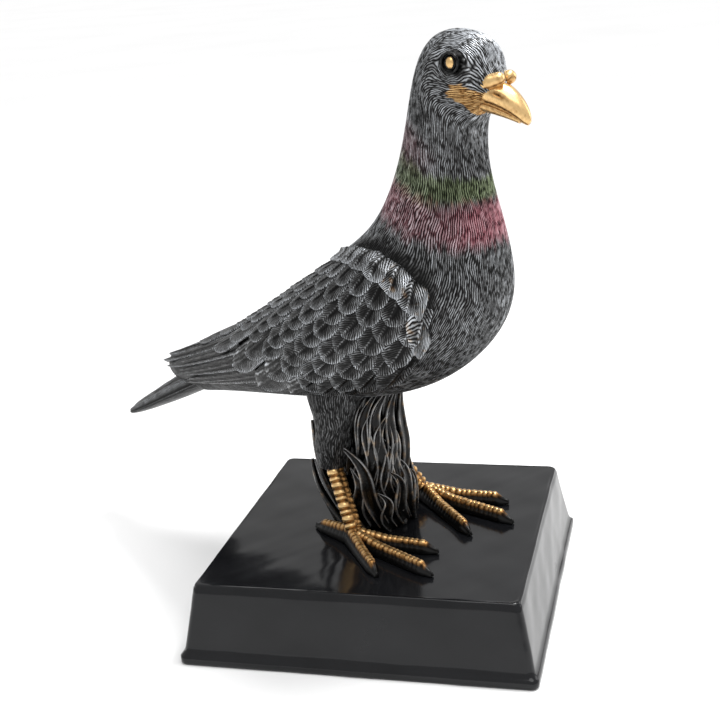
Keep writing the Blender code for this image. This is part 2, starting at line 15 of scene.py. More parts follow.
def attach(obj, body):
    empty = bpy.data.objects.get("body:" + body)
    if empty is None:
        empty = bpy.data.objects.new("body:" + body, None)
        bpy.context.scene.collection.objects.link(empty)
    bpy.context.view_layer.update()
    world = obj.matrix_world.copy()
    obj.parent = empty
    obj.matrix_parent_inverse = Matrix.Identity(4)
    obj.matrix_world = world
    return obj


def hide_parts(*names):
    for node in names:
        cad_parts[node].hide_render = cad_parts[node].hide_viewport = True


# Driving sizes, the same as the solids'
UNIT = 0.001
BIRD_TURN = math.radians(-26.0)
FOOT_TURN = math.radians(-6.5)
PLINTH_SIDE = 0.126
PLINTH_HEIGHT = 0.0312
PLINTH_SPLAY = 0.0051
LIP_HEIGHT = 0.0045
LIP_OVERHANG = 0.0015
SEAT_GAP = 0.0003

# Body by stations: forward and up of the back's line, forward and up of the breast's, half width
BODY = (
    (66.0, 179.3, 58.9, 171.9, 5.6), (62.4, 188.6, 56.2, 167.9, 9.8), (56.4, 196.2, 53.9, 164.9, 12.5),
    (38.3, 196.1, 53.6, 159.3, 14.5), (27.8, 176.3, 54.7, 152.5, 14.1), (21.0, 153.2, 57.0, 141.3, 15.5),
    (11.7, 133.5, 61.4, 119.0, 22.2), (-1.5, 120.8, 58.2, 92.8, 29.3), (-18.5, 110.0, 34.5, 69.0, 31.8),
    (-41.8, 95.7, -0.2, 56.4, 29.5), (-76.4, 75.5, -45.3, 49.4, 22.0), (-119.7, 56.5, -92.9, 41.9, 11.2),
    (-141.4, 46.8, -116.8, 35.0, 7.0),
)
BODY_END = 11.1

# Folded wing: its edges over the body, its lift, and the fades of that lift
WING_FRONT_DEGREES = (8, 22, 45, 68, 92, 116, 126, 136, 146)
WING_FRONT_STATION = (7.5, 7.1, 6.6, 6.35, 6.35, 6.55, 7.1, 7.85, 8.4)
WING_LOW_STATION = (6.0, 8.3, 9.2, 10.0, 10.6, 11.1)
WING_LOW_DEGREES = (140, 141, 130, 122, 112, 104)
WING_HIGH_DEGREES = 8
WING_LAST_DEGREES = 146
WING_RAISE = 2.6
WING_DIP = 0.6
WING_FULL = (15, 80)
WING_THIN_STATION = 8
WING_THIN_SHARE = 0.55
WING_ROUNDING = 0.2
WING_LOW_FADE = 9.0
WING_TOP_FADE = (-2, 16)

# Ranks of feathers: tips, lengths and widths
COVERT_RANKS = 9
COVERT_PITCH = 8.3
COVERT_WIDTH = 10.6
COVERT_LENGTH = 15.0
FIRST_TIP = 1.5
LONG_RANKS = ((88.0, 28.0), (103.0, 32.0))
LONG_WIDTH = 12.5
RANK_STEP = 0.82
RANK_SHIFT = 3
FLIGHT_FEATHERS = 5
FLIGHT_LENGTH = 66.0
FLIGHT_DEGREES = (24, 98)
FLIGHT_BEYOND = 2.0
FLIGHT_STEP = 3.5

# Form of a feather; by kind: rise at the root as a share, drop towards the sides, tilt across
FEATHER_KINDS = {"flight": (0.12, 0.75, 0.0), "front": (0.9, 0.12, 0.06), "covert": (0.12, 0.4, 0.3)}
FEATHER_GRIDS = ((40, 46, 27), (20, 34, 25), (0, 24, 23))
FEATHER_STRAIGHT = 0.58
FEATHER_ROUNDING = 2.4
FEATHER_RISE = 2.1
FEATHER_SKEW = 0.18
FEATHER_SINK = 0.6
FEATHER_SIDE = 1.9
LONG_FROM = 20
BARB_CUT = 0.36
BARB_PITCH = (1.05, 1.3)
GROOVE_PITCH = 1.9
LEAST_DEGREE = 0.12

# First rank: its reach, extra width and round front, and where it lets go of the wing's front line
FRONT_REACH = 1.5 * COVERT_PITCH
FRONT_WIDER = 1.15
FRONT_ROUNDING = 2.2
FRONT_FREE = (98, 118)
FRONT_FREE_SHARE = 0.65
FRONT_GILT_FROM = 84

# Tail by rows: forward, up, half width, half height
TAIL = ((-86, 53.0, 9.5, 7.5), (-112, 40.5, 10.5, 6.8), (-131, 31.3, 10.5, 5.2), (-146, 24.3, 9.38, 3.4),
        (-152.6, 21.6, 6.3, 1.8))
TAIL_GRID = (110, 160)
TAIL_FEATHERS = 4
TAIL_GROOVE = 0.9
TAIL_CUT = 0.3

# Head: eyes, both halves of the beak by rows (forward, up, half width, half height), and the ceres
EYE = (52.2, 11.4, 187.9)
EYE_RADIUS = 3.0
EYE_SWEEP = 4.6
BEAK_UPPER = ((56.8, 177.2, 8.7, 5.0), (61.5, 176.2, 7.0, 5.0), (66.2, 174.2, 5.3, 4.6),
              (70.5, 171.5, 3.9, 3.5), (73.6, 168.5, 2.3, 2.3), (75.0, 166.6, 0.9, 1.0))
BEAK_LOWER = ((57.0, 173.4, 6.2, 3.2), (66.0, 170.2, 4.1, 2.1), (72.0, 167.4, 2.1, 1.2))
BEAK_SLOPE = math.radians(34)
BEAK_GRID = (64, 80)
CERE_BACK = (57.6, 6.6, 179.3)
CERE_FRONT = (65.4, 3.2, 181.5)
CERE_RADIUS = ((0, 0.3, 0.42, 0.6, 1), (2.3, 2.75, 2.55, 2.95, 2.5))
CERE_GRID = (44, 56)

# Legs and feet
FEET_MIDDLE = 1.2
LEG_SPREAD = 24.6
THIGH = ((-14.0, -14.0, 66.0, 17.0, 11.0), (-12.5, -10.5, 57.0, 12.4, 10.0), (-11.4, -8.0, 47.0, 8.6, 8.0),
         (-12.4, -7.0, 37.0, 7.3, 6.8), (-13.2, -6.5, 28.5, 5.4, 5.2))
THIGH_GRID = (90, 150)
THIGH_PITCH = 0.8
THIGH_CUT = 0.4
THIGH_DARKER = 0.22
TARSUS_TOP = (-13.4, -6.5, 29.5)
TARSUS_LOW = (0.6, -0.6, 6.0)
TARSUS_RADIUS = 3.7
TARSUS_RINGS = 10
TARSUS_GRID = (12, 56)
TARSUS_BEADS = (62, 46)
TARSUS_PLATES = (-42, 50)
LEFT_KNEE_SHIFT = (-3.5, -3.5)
RIGHT_TOES = ((25.8, 33.0), (1.2, 45.8), (-22.5, 37.5), (-178.0, 21.5))
LEFT_TOES = ((28.0, 36.5), (4.5, 46.0), (-20.8, 42.3), (-178.0, 21.5))
TOE_SECTION = ((1, 0.0), (1, 0.16), (0.97, 0.30), (0.86, 0.46), (0.82, 0.60), (0.80, 0.72), (0.66, 0.87),
               (0.36, 0.97), (0, 1.0))
TOE_RADIUS = 2.7
TOE_WEB = 3.1
TOE_HEIGHT = (7.4, 5.0, 2.4)
TOE_SLOPE = 16
TOE_RING_PITCH = 2.3
TOE_ROWS = 10
CLAW_LENGTH = 6.0
FOOT_FORWARD = -0.4

# Grass clump: core by heights (up, middle, half length, half width); leaves by root bearing and height,
# tip bearing and height, stand-off and width; rear leaves by root, tip and width
CLUMP_CORE = ((0.0, -5.0, 13.4, 12.4), (20.0, -6.0, 13.2, 13.7), (42.0, -8.5, 14.0, 12.6),
              (62.0, -10.0, 17.0, 12.2))
CLUMP_TOP = 62
LEAVES = (
    (-46, 3, -92, 40, 6.0, 6.6), (-74, 2, -86, 28, 1.5, 6.0), (-6, 3, -30, 27, 3.5, 6.4),
    (-32, 1, -49, 18, 2.0, 5.6), (-92, 24, -46, 61, 0.8, 5.6), (-74, 26, -30, 62, 0.8, 5.6),
    (-60, 22, -38, 54, 1.5, 5.6), (-56, 30, -14, 62, 0.8, 5.6), (-46, 18, -20, 51, 2.0, 6.2),
    (-26, 14, -36, 42, 1.0, 5.6), (-28, 26, 2, 62, 0.6, 5.6), (-10, 18, -22, 48, 1.0, 6.0),
    (6, 24, 18, 61, 0.5, 6.0), (-16, 8, -4, 40, 1.2, 5.4), (14, 4, -20, 33, 1.0, 6.4),
    (34, 1, 12, 24, 2.0, 6.4), (-104, 24, -124, 48, 3.0, 7.0), (-110, 2, -132, 26, 3.5, 7.0),
)
LEAF_SWAY = 7.0
LEAF_BULGE = 1.6
LEAF_THICKNESS = 1.9
LEAF_GRID = (34, 28)
LEAF_VEINS = 15
BACK_STAND_OFF = 0.6
REAR_LEAF_BOW = 3.2
REAR_LEAVES = ((-13.0, -13.0, 0.0, -27.5, -13.5, 27.0, 7.0), (-18.0, -9.0, 8.0, -24.5, -14.5, 45.0, 7.5),
               (-15.0, 14.0, 0.0, -28.5, 16.0, 24.0, 7.0))

# Softness of the plinth's lip and upper edge, radius of its corners, how wavy its faces are, and how far in
# they stand in mm, measured at a half side
LIP_SOFT = 0.0007
EDGE_SOFT = 0.0013
CORNER_RADIUS = 0.0028
CORNER_STEPS = 13
SIDE_STEPS = 46
PLINTH_WAVES = ((0.10, 26.0), (0.035, 9.0))
FACE_INSET = 0.22
INSET_HALF_SIDE = 0.07
TOP_INSET = 0.14

# Carving of the plumage: spacing of the grid over the body, columns round it, depth of the cuts, and
# the spacing of the lines by stations
ROW_SPACING = 0.76
COLUMNS = 800
CUT_DEPTH = 0.42
CUT_BY_STATION = ((0, 0.6, 3), (0.5, 0.8, 1.0))
PITCH_BY_STATION = ((0, 1.5, 4, 6, 8, 11), (0.72, 0.78, 0.80, 0.85, 0.85, 0.85))
STROKE_LENGTH = 8.0
LINE_COUNT = 24
LINE_RATIO = 1.3
LINE_CHANGE = 0.16
LINE_CUT = 0.97
LINE_LIGHT = 0.80
WANDER = ((1.2, 26.0), (0.22, 8.0))

# Uneven streaks along the lines: cells round the form, their length and their strength
SHIFT_STREAKS = (60, 5.0, 0.22)
SHARE_STREAKS = (60, 8.0, 0.32)
CUT_STREAKS = (120, 4.5, 0.15)
LIGHT_STREAKS = (150, 5.5, 0.10)
EDGE_STREAKS = (110, 4.5, 1.0)

# Where the carved skin is parted into pieces
NECK_END = 5.0
SHOULDER_END = 7.3
BELLY_DEGREES = (104, 256)
BACK_DEGREES = 34

# Painted marks: bands as bearings with their stations, half heights and strengths by bearing, and the
# upper and lower edge of the gilt cheek as stations with their bearings
GREEN_BAND = ((45, 101, 150, 180), (5.02, 5.09, 4.88, 4.84))
GREEN_HALF = 0.25
GREEN_STRENGTH = ((0, 30, 60, 140), (0.2, 0.4, 0.7, 0.85))
PINK_BAND = ((45, 101, 150, 180), (5.55, 5.60, 5.50, 5.46))
PINK_HALF = 0.30
PINK_STRENGTH = ((0, 40, 110, 155), (0.3, 0.5, 0.4, 0.95))
CHEEK_TOP = ((0.0, 0.8, 1.5, 1.9, 2.35, 2.55), (80, 88, 91, 89, 91, 97))
CHEEK_LOW = ((0.0, 0.5, 0.95, 1.7, 2.3, 2.55), (182, 182, 146, 117, 106, 99))
CHEEK_END = 2.55
MARKS = ("relief", "green", "pink", "gold", "line", "line_next", "line_mix", "cut", "run", "broken")

# Paints: ramps from the deepest cut to the highest ridge, as places with greys or colours
PLUMAGE_PAINT = ((0.24, 0.003), (0.42, 0.035), (0.64, (0.195, 0.20, 0.205)), (0.92, (0.62, 0.65, 0.69)))
LEAF_PAINT = ((0.20, 0.003), (0.45, 0.014), (0.70, 0.12), (0.95, 0.42))
WEB_PAINT = ((0.10, 0.003), (0.50, 0.008), (0.90, 0.03), (1.0, 0.06))
GREEN_PAINT = ((0.20, (0.004, 0.005, 0.003)), (0.48, (0.055, 0.075, 0.028)), (0.88, (0.24, 0.30, 0.14)))
PINK_PAINT = ((0.18, (0.012, 0.004, 0.006)), (0.44, (0.30, 0.085, 0.11)), (0.88, (0.66, 0.32, 0.36)))
GILT_PAINT = ((0.10, (0.020, 0.009, 0.003)), (0.42, (0.34, 0.17, 0.055)), (0.88, (0.82, 0.55, 0.25)))
PAINT_BUMP = 0.00022
GILT_BUMP = 0.00006
LACQUER_DARK = (0.004, 0.0042, 0.005)
LACQUER_LIGHT = (0.008, 0.0083, 0.0095)
LACQUER_ROUGH = 0.08
LACQUER_IOR = 1.37

# Stage and camera
FLOOR_SIZE = 12.0
FLOOR_DROP = 0.0002
SURROUND = (0.68, 1.0)
SKY_POWER = 1.6
SKY_WIDTH = math.radians(50)
SKY_TURN = (math.radians(18), math.radians(12), 0)
CAMERA_RIGHT = (0.96760599, 0.24219726, -0.07126813)
CAMERA_UP = (-0.01046537, 0.32052494, 0.94718226)
CAMERA_BACK = (0.25224816, -0.91575338, 0.31267653)
CAMERA_PLACE = (0.1215102, -0.4666211, 0.2296508 + PLINTH_HEIGHT)
CAMERA_LENS = 63.826
CAMERA_SENSOR = 36


def natural_spline(values, at):
    """Smooth curve through rows of values at 0, 1, 2 and so on, read at the places given."""
    values = np.asarray(values, float)
    last = len(values) - 1
    matrix = np.eye(last + 1)
    right = np.zeros_like(values)
    for i in range(1, last):
        matrix[i, i - 1:i + 2] = (1, 4, 1)
        right[i] = 6 * (values[i + 1] - 2 * values[i] + values[i - 1])
    bend = np.linalg.solve(matrix, right)
    at = np.atleast_1d(np.asarray(at, float))
    i = np.clip(at.astype(int), 0, last - 1)
    b = (at - i)[:, None]
    a = 1 - b
    return bend[i] * (a**3 - a) / 6 + bend[i + 1] * (b**3 - b) / 6 + values[i] * a + values[i + 1] * b


def spline_rows(table, count):
    """Rows of a table of stations, drawn out to a count by the smooth curve through them."""
    return natural_spline(table, np.linspace(0, len(table) - 1, count))


def body_point(station, degrees):
    """Point of the bare body, by station and bearing."""
    station, degrees = np.broadcast_arrays(np.asarray(station, float), np.asarray(degrees, float))
    row = natural_spline(BODY, station.ravel()).reshape(station.shape + (5,))
    angle = np.radians(degrees)
    high = (1 + np.cos(angle)) / 2
    forward = row[..., 2] + (row[..., 0] - row[..., 2]) * high
    up = row[..., 3] + (row[..., 1] - row[..., 3]) * high
    return np.stack([forward, row[..., 4] * np.sin(angle), up], axis=-1)


def unit(vectors):
    """The vectors at length one."""
    return vectors / np.maximum(np.linalg.norm(vectors, axis=-1, keepdims=True), 1e-9)


def body_normal(station, degrees):
    """Outward direction of the bare body."""
    small = 0.02
    along = body_point(station + small, degrees) - body_point(station - small, degrees)
    around = body_point(station, degrees + 1) - body_point(station, degrees - 1)
    return unit(np.cross(around, along))


def smooth_step(value):
    """0 up to 0, 1 from 1 on, and a soft rise between."""
    value = np.clip(value, 0, 1)
    return value * value * (3 - 2 * value)


def between(value, start, end):
    """0 at the start to 1 at the end, softly; the end may lie below the start."""
    return smooth_step((value - start) / (end - start))


def bump(value, place, width):
    """Round rise to 1 at a place, falling off over a width."""
    return np.exp(-((value - place) / width) ** 2)


def ridges_of(phase):
    """Rounded ridges, one to each whole step of the phase."""
    return np.abs(np.sin(math.pi * phase))


def from_back(degrees):
    """Bearing as 0 at the back's middle line to 180 at the breast's, on either side."""
    return np.abs((np.asarray(degrees, float) + 180) % 360 - 180)


def wing_share(station, degrees):
    """0 outside the folded wing and 1 well inside it, with a round shoulder between."""
    turn = from_back(degrees)
    front = np.interp(turn, WING_FRONT_DEGREES, WING_FRONT_STATION)
    low = np.interp(station, WING_LOW_STATION, WING_LOW_DEGREES)
    behind = smooth_step((station - front) / WING_ROUNDING)
    above = smooth_step((low - turn) / WING_LOW_FADE)
    return behind * above * between(turn, *WING_TOP_FADE)


def skin_point(station, degrees, stand_off=0.0):
    """Point on the body with its folded wings."""
    strength = (1 + WING_DIP) * between(from_back(degrees), *WING_FULL) - WING_DIP
    fade = 1 - WING_THIN_SHARE * between(station, WING_THIN_STATION, BODY_END)
    lift = WING_RAISE * strength * fade * wing_share(station, degrees) + stand_off
    return body_point(station, degrees) + body_normal(station, degrees) * lift[..., None]


def waves(points, size, seed):
    """Soft random field over points, about -1 to 1, that changes over the size given."""
    rng = np.random.default_rng(seed)
    total = np.zeros(points.shape[:-1])
    for _ in range(6):
        direction = unit(rng.normal(size=3)) * (2 * math.pi / size) * rng.uniform(0.6, 1.5)
        total += np.sin(points @ direction + rng.uniform(0, 2 * math.pi))
    return total / 2.6


class Piece:
    """Faces gathered for one object, with the painting marks of every point."""

    def __init__(self):
        self.points = []
        self.marks = []
        self.faces = []
        self.count = 0

    def add(self, points, faces, marks):
        """Points with the faces between them and their painting marks."""
        points = points.reshape(-1, 3)
        table = np.zeros((len(points), len(MARKS)))
        for key, value in marks.items():
            table[:, MARKS.index(key)] = np.broadcast_to(np.asarray(value, float).ravel(), len(points))
        self.points.append(points)
        self.marks.append(table)
        self.faces.extend((faces_of_kind + self.count).tolist() for faces_of_kind in faces)
        self.count += len(points)

    def grid(self, points, marks):
        """Open sheet."""
        self.add(points, [grid_faces(*points.shape[:2], False)], marks)

    def tube(self, points, marks):
        """Closed tube with a fan over each end, turned to face outwards."""
        rows, columns = points.shape[:2]
        faces = grid_faces(rows, columns, True)
        j = np.arange(columns)
        k = (j + 1) % columns
        first, last = rows * columns, rows * columns + 1
        low = np.stack([k, j, np.full_like(j, first)], axis=-1)
        start = (rows - 1) * columns
        high = np.stack([start + j, start + k, np.full_like(j, last)], axis=-1)
        flat = np.concatenate([points.reshape(-1, 3), points[0].mean(0)[None], points[-1].mean(0)[None]])
        a, b, c, d = (flat[faces[:, n]] for n in range(4))
        outward = (np.cross(c - a, d - b) * (a - flat.mean(0))).sum()
        full = {}
        for key, value in marks.items():
            value = np.broadcast_to(np.asarray(value, float), (rows, columns))
            full[key] = np.concatenate([value.ravel(), [value[0].mean(), value[-1].mean()]])
        kinds = [faces, low, high]
        self.add(flat, kinds if outward > 0 else [kind[:, ::-1] for kind in kinds], full)

    def make(self, name, material, slot="pigeon", node="pigeon"):
        """The Blender object, riding on the statuette in place of a solid. The slot is not used."""
        data = bpy.data.meshes.new(name)
        faces = [face for kind in self.faces for face in kind]
        data.from_pydata(to_world(np.concatenate(self.points)).tolist(), [], faces)
        marks = np.concatenate(self.marks)
        for column, mark in enumerate(MARKS):
            layer = data.attributes.new(mark, "FLOAT", "POINT")
            layer.data.foreach_set("value", marks[:, column].astype(np.float32))
        data.materials.append(material)
        data.shade_smooth()
        item = bpy.data.objects.new(name, data)
        bpy.context.scene.collection.objects.link(item)
        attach(item, "root")
        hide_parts(node)


def grid_faces(rows, columns, closed):
    """Four-cornered faces of a grid; a closed one joins its last column to its first."""
    i = np.arange(rows - 1)[:, None]
    j = np.arange(columns if closed else columns - 1)[None, :]
    k = (j + 1) % columns
    return np.stack([i * columns + j, i * columns + k, (i + 1) * columns + k, (i + 1) * columns + j],
                    axis=-1).reshape(-1, 4)


def bird_axes():
    """The bird's turn on its plinth, seen from above."""
    c, s = math.cos(BIRD_TURN), math.sin(BIRD_TURN)
    return np.array([[c, -s], [s, c]])


def to_world(points):
    """From the bird's own millimetres to metres in the statuette's frame."""
    world = np.empty_like(points)
    world[..., :2] = points[..., :2] @ bird_axes().T * UNIT
    world[..., 2] = points[..., 2] * UNIT + PLINTH_HEIGHT
    return world


def from_world(world):
    """From metres in the statuette's frame to the bird's own millimetres."""
    points = np.empty_like(world)
    points[..., :2] = world[..., :2] @ bird_axes() / UNIT
    points[..., 2] = (world[..., 2] - PLINTH_HEIGHT) / UNIT
    return points


def outward_of(grid):
    """Outward directions over a tube's grid whose last column lies on its first."""
    points = grid[:, :-1]
    along = unit(np.gradient(points, axis=0))
    around = np.roll(points, -1, axis=1) - np.roll(points, 1, axis=1)
    around = unit(around - (around * along).sum(-1, keepdims=True) * along)
    outward = np.cross(around, along)
    outward *= np.sign(((points - points.mean(axis=1, keepdims=True)) * outward).sum(-1).mean())
    return np.concatenate([outward, outward[:, :1]], axis=1)


def streaks(turns, run, kind, seed):
    """Random field drawn out along the lines, up to the kind's strength either way."""
    count, length, strength = kind
    table = np.random.default_rng(seed).uniform(-1, 1, (int(run.max() / length) + 3, count))
    x = (turns * count) % count
    y = run / length
    i, j = x.astype(int) % count, y.astype(int)
    a, b = smooth_step(x - x.astype(int)), smooth_step(y - j)
    k = (i + 1) % count
    near, far = (table[row, i] * (1 - a) + table[row, k] * a for row in (j, j + 1))
    return strength * (near * (1 - b) + far * b)


def combed(points, pitch, seed, sweep=0.0):
    """Wavy carved lines along the rows' direction of a grid whose last column lies on its first.

    The lines keep the pitch given for each row: where the form widens, more of them take over, patch by
    patch. Gives the painting marks, how deep each point is cut, 0 to 1, the lines' shares round the form,
    and their run along it.
    """
    rows, columns = points.shape[:2]
    girth = np.linalg.norm(np.diff(points, axis=1), axis=-1).sum(1)[:, None]
    steps = np.linalg.norm(np.diff(points, axis=0), axis=-1)
    run = np.concatenate([np.zeros((1, columns)), np.cumsum(steps, axis=0)])
    turns = np.broadcast_to(np.linspace(0, 1, columns)[None, :], (rows, columns))
    drift = sum(reach * waves(points, size, seed + n) for n, (reach, size) in enumerate(WANDER))
    drift = drift + streaks(turns, run, SHIFT_STREAKS, seed + 2) + sweep
    flow = turns + drift / girth
    level = np.log(girth / np.asarray(pitch)[:, None] / LINE_COUNT) / math.log(LINE_RATIO)
    base = np.floor(level)
    past_half = level - base + streaks(flow, run, SHARE_STREAKS, seed + 3) - 0.5
    share = smooth_step(past_half / LINE_CHANGE + 0.5)
    odd = base % 2 == 1
    counts = [np.round(LINE_COUNT * LINE_RATIO ** (base + extra)) for extra in (odd * 1, 1 - odd * 1)]
    first, second = (flow * count for count in counts)
    mix = np.where(odd, 1 - share, share)
    ridge = ridges_of(first) * (1 - mix) + ridges_of(second) * mix
    cut = np.clip(LINE_CUT + streaks(flow, run, CUT_STREAKS, seed + 4), 0.5, 1)
    light = LINE_LIGHT + streaks(flow, run, LIGHT_STREAKS, seed + 5)
    marks = {"line": first, "line_next": second, "line_mix": mix, "cut": cut, "relief": light, "run": run,
             "broken": np.ones_like(run)}
    return marks, cut * (1 - ridge) + 0.25 * (1 - light), flow, run


def body_stations():
    """Stations with an even spacing over the widest part of the skin."""
    fine = np.linspace(0.0, BODY_END, 2400)
    steps = np.zeros(len(fine) - 1)
    for turn in (0, 60, 110, 180):
        line = body_point(fine, np.full_like(fine, turn))
        steps = np.maximum(steps, np.linalg.norm(np.diff(line, axis=0), axis=1))
    reach = np.concatenate([[0], np.cumsum(steps)])
    return np.interp(np.arange(0, reach[-1], ROW_SPACING), reach, fine)


def mirrored(place, side):
    """A place that is given for the left, on the side asked for."""
    return np.array((place[0], side * place[1], place[2]))


def eye_sweep(points, degree):
    """How far round the lines are moved, in mm, so that they part in front of the eyes and close behind."""
    girth = np.linalg.norm(np.diff(points, axis=1), axis=-1).sum(1)[:, None]
    sweep = np.zeros(points.shape[:2])
    for side in (1, -1):
        away = np.linalg.norm(points - mirrored(EYE, side), axis=-1)
        bearing = degree.ravel()[np.argmin(away)]
        offset = ((degree - bearing + 180) % 360 - 180) / 360 * girth
        fade = (EYE_SWEEP / np.maximum(away, EYE_SWEEP)) ** 2 * between(away, 16, 10)
        sweep -= np.clip(offset, -12, 12) * fade
    return sweep


def band_mark(station, degrees, band, half, ragged):
    """Share of a coloured band round the neck, with a ragged edge."""
    centre = np.interp(from_back(degrees), *band)
    off = np.abs(station - centre) / half + 0.3 * ragged
    return between(off, 1.5, 0.6)


def cheek_mark(station, degrees, ragged):
    """The gilt patch that runs back from the beak over the cheek."""
    turn = from_back(degrees)
    inside = np.minimum(turn - np.interp(station, *CHEEK_TOP), np.interp(station, *CHEEK_LOW) - turn)
    return (smooth_step((inside + 4.0 * ragged) / 3 + 0.5)
            * smooth_step((CHEEK_END - station + 0.12 * ragged) / 0.1))


def paint_bands(marks, station, degree, ragged):
    """Green and pink bands round the neck and gilt cheeks, as painting marks."""
    turn = from_back(degree)
    flush = band_mark(station, degree, PINK_BAND, PINK_HALF, ragged) * np.interp(turn, *PINK_STRENGTH)
    tinge = 0.25 * smooth_step(1 - np.abs(station - 4.55) / 0.5) * between(turn, 120, 60)
    green = band_mark(station, degree, GREEN_BAND, GREEN_HALF, ragged)
    marks["green"] = green * np.interp(turn, *GREEN_STRENGTH)
    marks["pink"] = np.maximum(flush, tinge) * (0.85 + 0.15 * ragged)
    marks["gold"] = cheek_mark(station, degree, ragged)


def crown_highlight_and_tone(station, turn):
    """Change of a point's lightness: a painted highlight on the crown, and a darker breast and nape."""
    crown = between(turn, 75, 25) * between(station, 3.4, 1.8)
    breast = between(station, 5.6, 6.8) * between(station, 9.5, 8.0) * between(turn, 95, 125)
    nape = between(station, 4.9, 3.9) * between(station, 2.8, 3.8)
    return 0.30 * crown - 0.08 * breast - 0.06 * nape


def body_shade(points, station, turn):
    """Share of its light that a point keeps in the eye sockets and along the wings' front edge."""
    socket = np.minimum(*(np.linalg.norm(points - mirrored(EYE, side), axis=-1) for side in (1, -1)))
    ahead = np.interp(turn, WING_FRONT_DEGREES, WING_FRONT_STATION) - station
    wing = between(ahead, 0.42, 0.02) * between(turn, 25, 45) * between(turn, 148, 140)
    return (1 - 0.5 * between(socket, 4.7, 3.5)) * (1 - 0.5 * wing)


def carve_body():
    """Skin of head, neck, breast and belly, cut all over with fine wavy lines."""
    stations = body_stations()
    degrees = np.linspace(0, 360, COLUMNS + 1)
    station, degree = np.broadcast_arrays(stations[:, None], degrees[None, :])
    points = skin_point(station, degree)
    pitches = np.interp(stations, *PITCH_BY_STATION)
    marks, cut, flow, run = combed(points, pitches, 11, eye_sweep(points, degree))
    paint_bands(marks, station, degree, streaks(flow, run, EDGE_STREAKS, 21))
    turn = from_back(degree)
    bands = np.maximum(marks["pink"], marks["green"])
    # Painted highlight on the crown, a darker breast and nape, and lighter bands; then painted shade in the
    # eye sockets and along the wings' front edge.
    marks["relief"] = marks["relief"] + crown_highlight_and_tone(station, turn) + 0.10 * bands
    marks["relief"] *= body_shade(points, station, turn)
    depth = CUT_DEPTH * np.interp(stations, *CUT_BY_STATION)[:, None]
    return stations, points - outward_of(points) * (cut * depth)[..., None], marks


def cut_out(points, marks, rows, columns):
    """Part of the carved grid, by slices of rows and columns."""
    return points[rows, columns], {key: value[rows, columns] for key, value in marks.items()}


def make_body(material):
    """The carved skin in four pieces, over a plain dark core that closes the bird under its wings."""
    stations, points, marks = carve_body()
    neck = int(np.searchsorted(stations, NECK_END))
    shoulder = int(np.searchsorted(stations, SHOULDER_END))
    head = Piece()
    head.grid(*cut_out(points, marks, slice(0, neck + 1), slice(0, None, 2)))
    head.make("bird_head_neck", material)
    for grid in (points, *marks.values()):
        grid[neck, 1::2] = (grid[neck, 0:-1:2] + grid[neck, 2::2]) / 2
    middle = Piece()
    middle.grid(*cut_out(points, marks, slice(neck, shoulder + 1), slice(None)))
    middle.make("bird_shoulders", material)
    belly_edges = [int(round(turn / 360 * COLUMNS)) for turn in BELLY_DEGREES]
    belly = Piece()
    belly.grid(*cut_out(points, marks, slice(shoulder, None), slice(*belly_edges)))
    belly.make("bird_belly", material)
    back_edge = int(round(BACK_DEGREES / 360 * COLUMNS))
    back = Piece()
    for columns in (slice(0, back_edge + 1), slice(COLUMNS - back_edge, None)):
        back.grid(*cut_out(points, marks, slice(shoulder, None), columns))
    back.make("bird_back", material)
    core = Piece()
    station, degree = np.broadcast_arrays(np.linspace(NECK_END - 0.2, BODY_END, 56)[:, None],
                                          np.linspace(0, 360, 60, endpoint=False)[None, :])
    core.tube(skin_point(station, degree, np.full(station.shape, -CUT_DEPTH - 0.35)), {"relief": 0.0})
    core.make("bird_core", material)


def wing_lines():
    """Lines along the wing: for each bearing its stations and the distance from the front edge."""
    lines = {}
    for turn in range(WING_HIGH_DEGREES, WING_LAST_DEGREES + 1, 2):
        front = float(np.interp(turn, WING_FRONT_DEGREES, WING_FRONT_STATION))
        stations = np.linspace(front, BODY_END, 60)
        points = body_point(stations, np.full_like(stations, turn))
        steps = np.linalg.norm(np.diff(points, axis=0), axis=1)
        lines[turn] = (stations, np.concatenate([[0], np.cumsum(steps)]))
    return lines


WING_LINES = wing_lines()


def wing_station(turn, distance):
    """Stations on the wing, by a bearing and distances behind the front edge."""
    low = int(np.clip(2 * math.floor(turn / 2), WING_HIGH_DEGREES, WING_LAST_DEGREES - 2))
    share = np.clip((turn - low) / 2, 0, 1)
    distance = np.asarray(distance, float)
    ends = []
    for key in (low, low + 2):
        stations, reach = WING_LINES[key]
        beyond = (distance - reach[-1]) / (reach[-1] - reach[-2]) * (stations[-1] - stations[-2])
        inside = np.interp(distance, reach, stations)
        ends.append(np.where(distance > reach[-1], stations[-1] + beyond, inside))
    return ends[0] + (ends[1] - ends[0]) * share


def degree_width(station, turn):
    """Width of one degree of bearing on the body, in millimetres."""
    span = body_point(station, turn + 1.0) - body_point(station, turn - 1.0)
    return np.maximum(np.linalg.norm(span, axis=-1) / 2, LEAST_DEGREE)


def half_width(share):
    """Outline of a feather: its half width along its length, as a share of the widest."""
    bend = np.clip((share - FEATHER_STRAIGHT) / (1 - FEATHER_STRAIGHT), 0, 1)
    return np.sqrt(np.clip(1 - bend**FEATHER_ROUNDING, 0, 1))


def feather_outline(length, half):
    """Grid of a feather in mm: shares along and across, half widths, places, and distances from the edge."""
    rows, columns = next(grid[1:] for grid in FEATHER_GRIDS if length > grid[0])
    share = (1 - (1 - np.linspace(0, 1, rows)) ** 1.35 * (1 - 1e-3)) * 0.999
    across = np.linspace(-1, 1, columns)
    across = across * (1.2 - 0.2 * across**2)
    widths = half * np.maximum(half_width(share), 0.03)
    x = across[None, :] * widths[:, None]
    y = np.broadcast_to((share * length)[:, None], x.shape)
    line = np.linspace(0, 1, 60)
    edge = np.stack([half * half_width(line), line * length], axis=-1)
    gap = np.hypot(np.abs(x)[..., None] - edge[:, 0], y[..., None] - edge[:, 1]).min(-1)
    return share, across, widths, x, y, gap


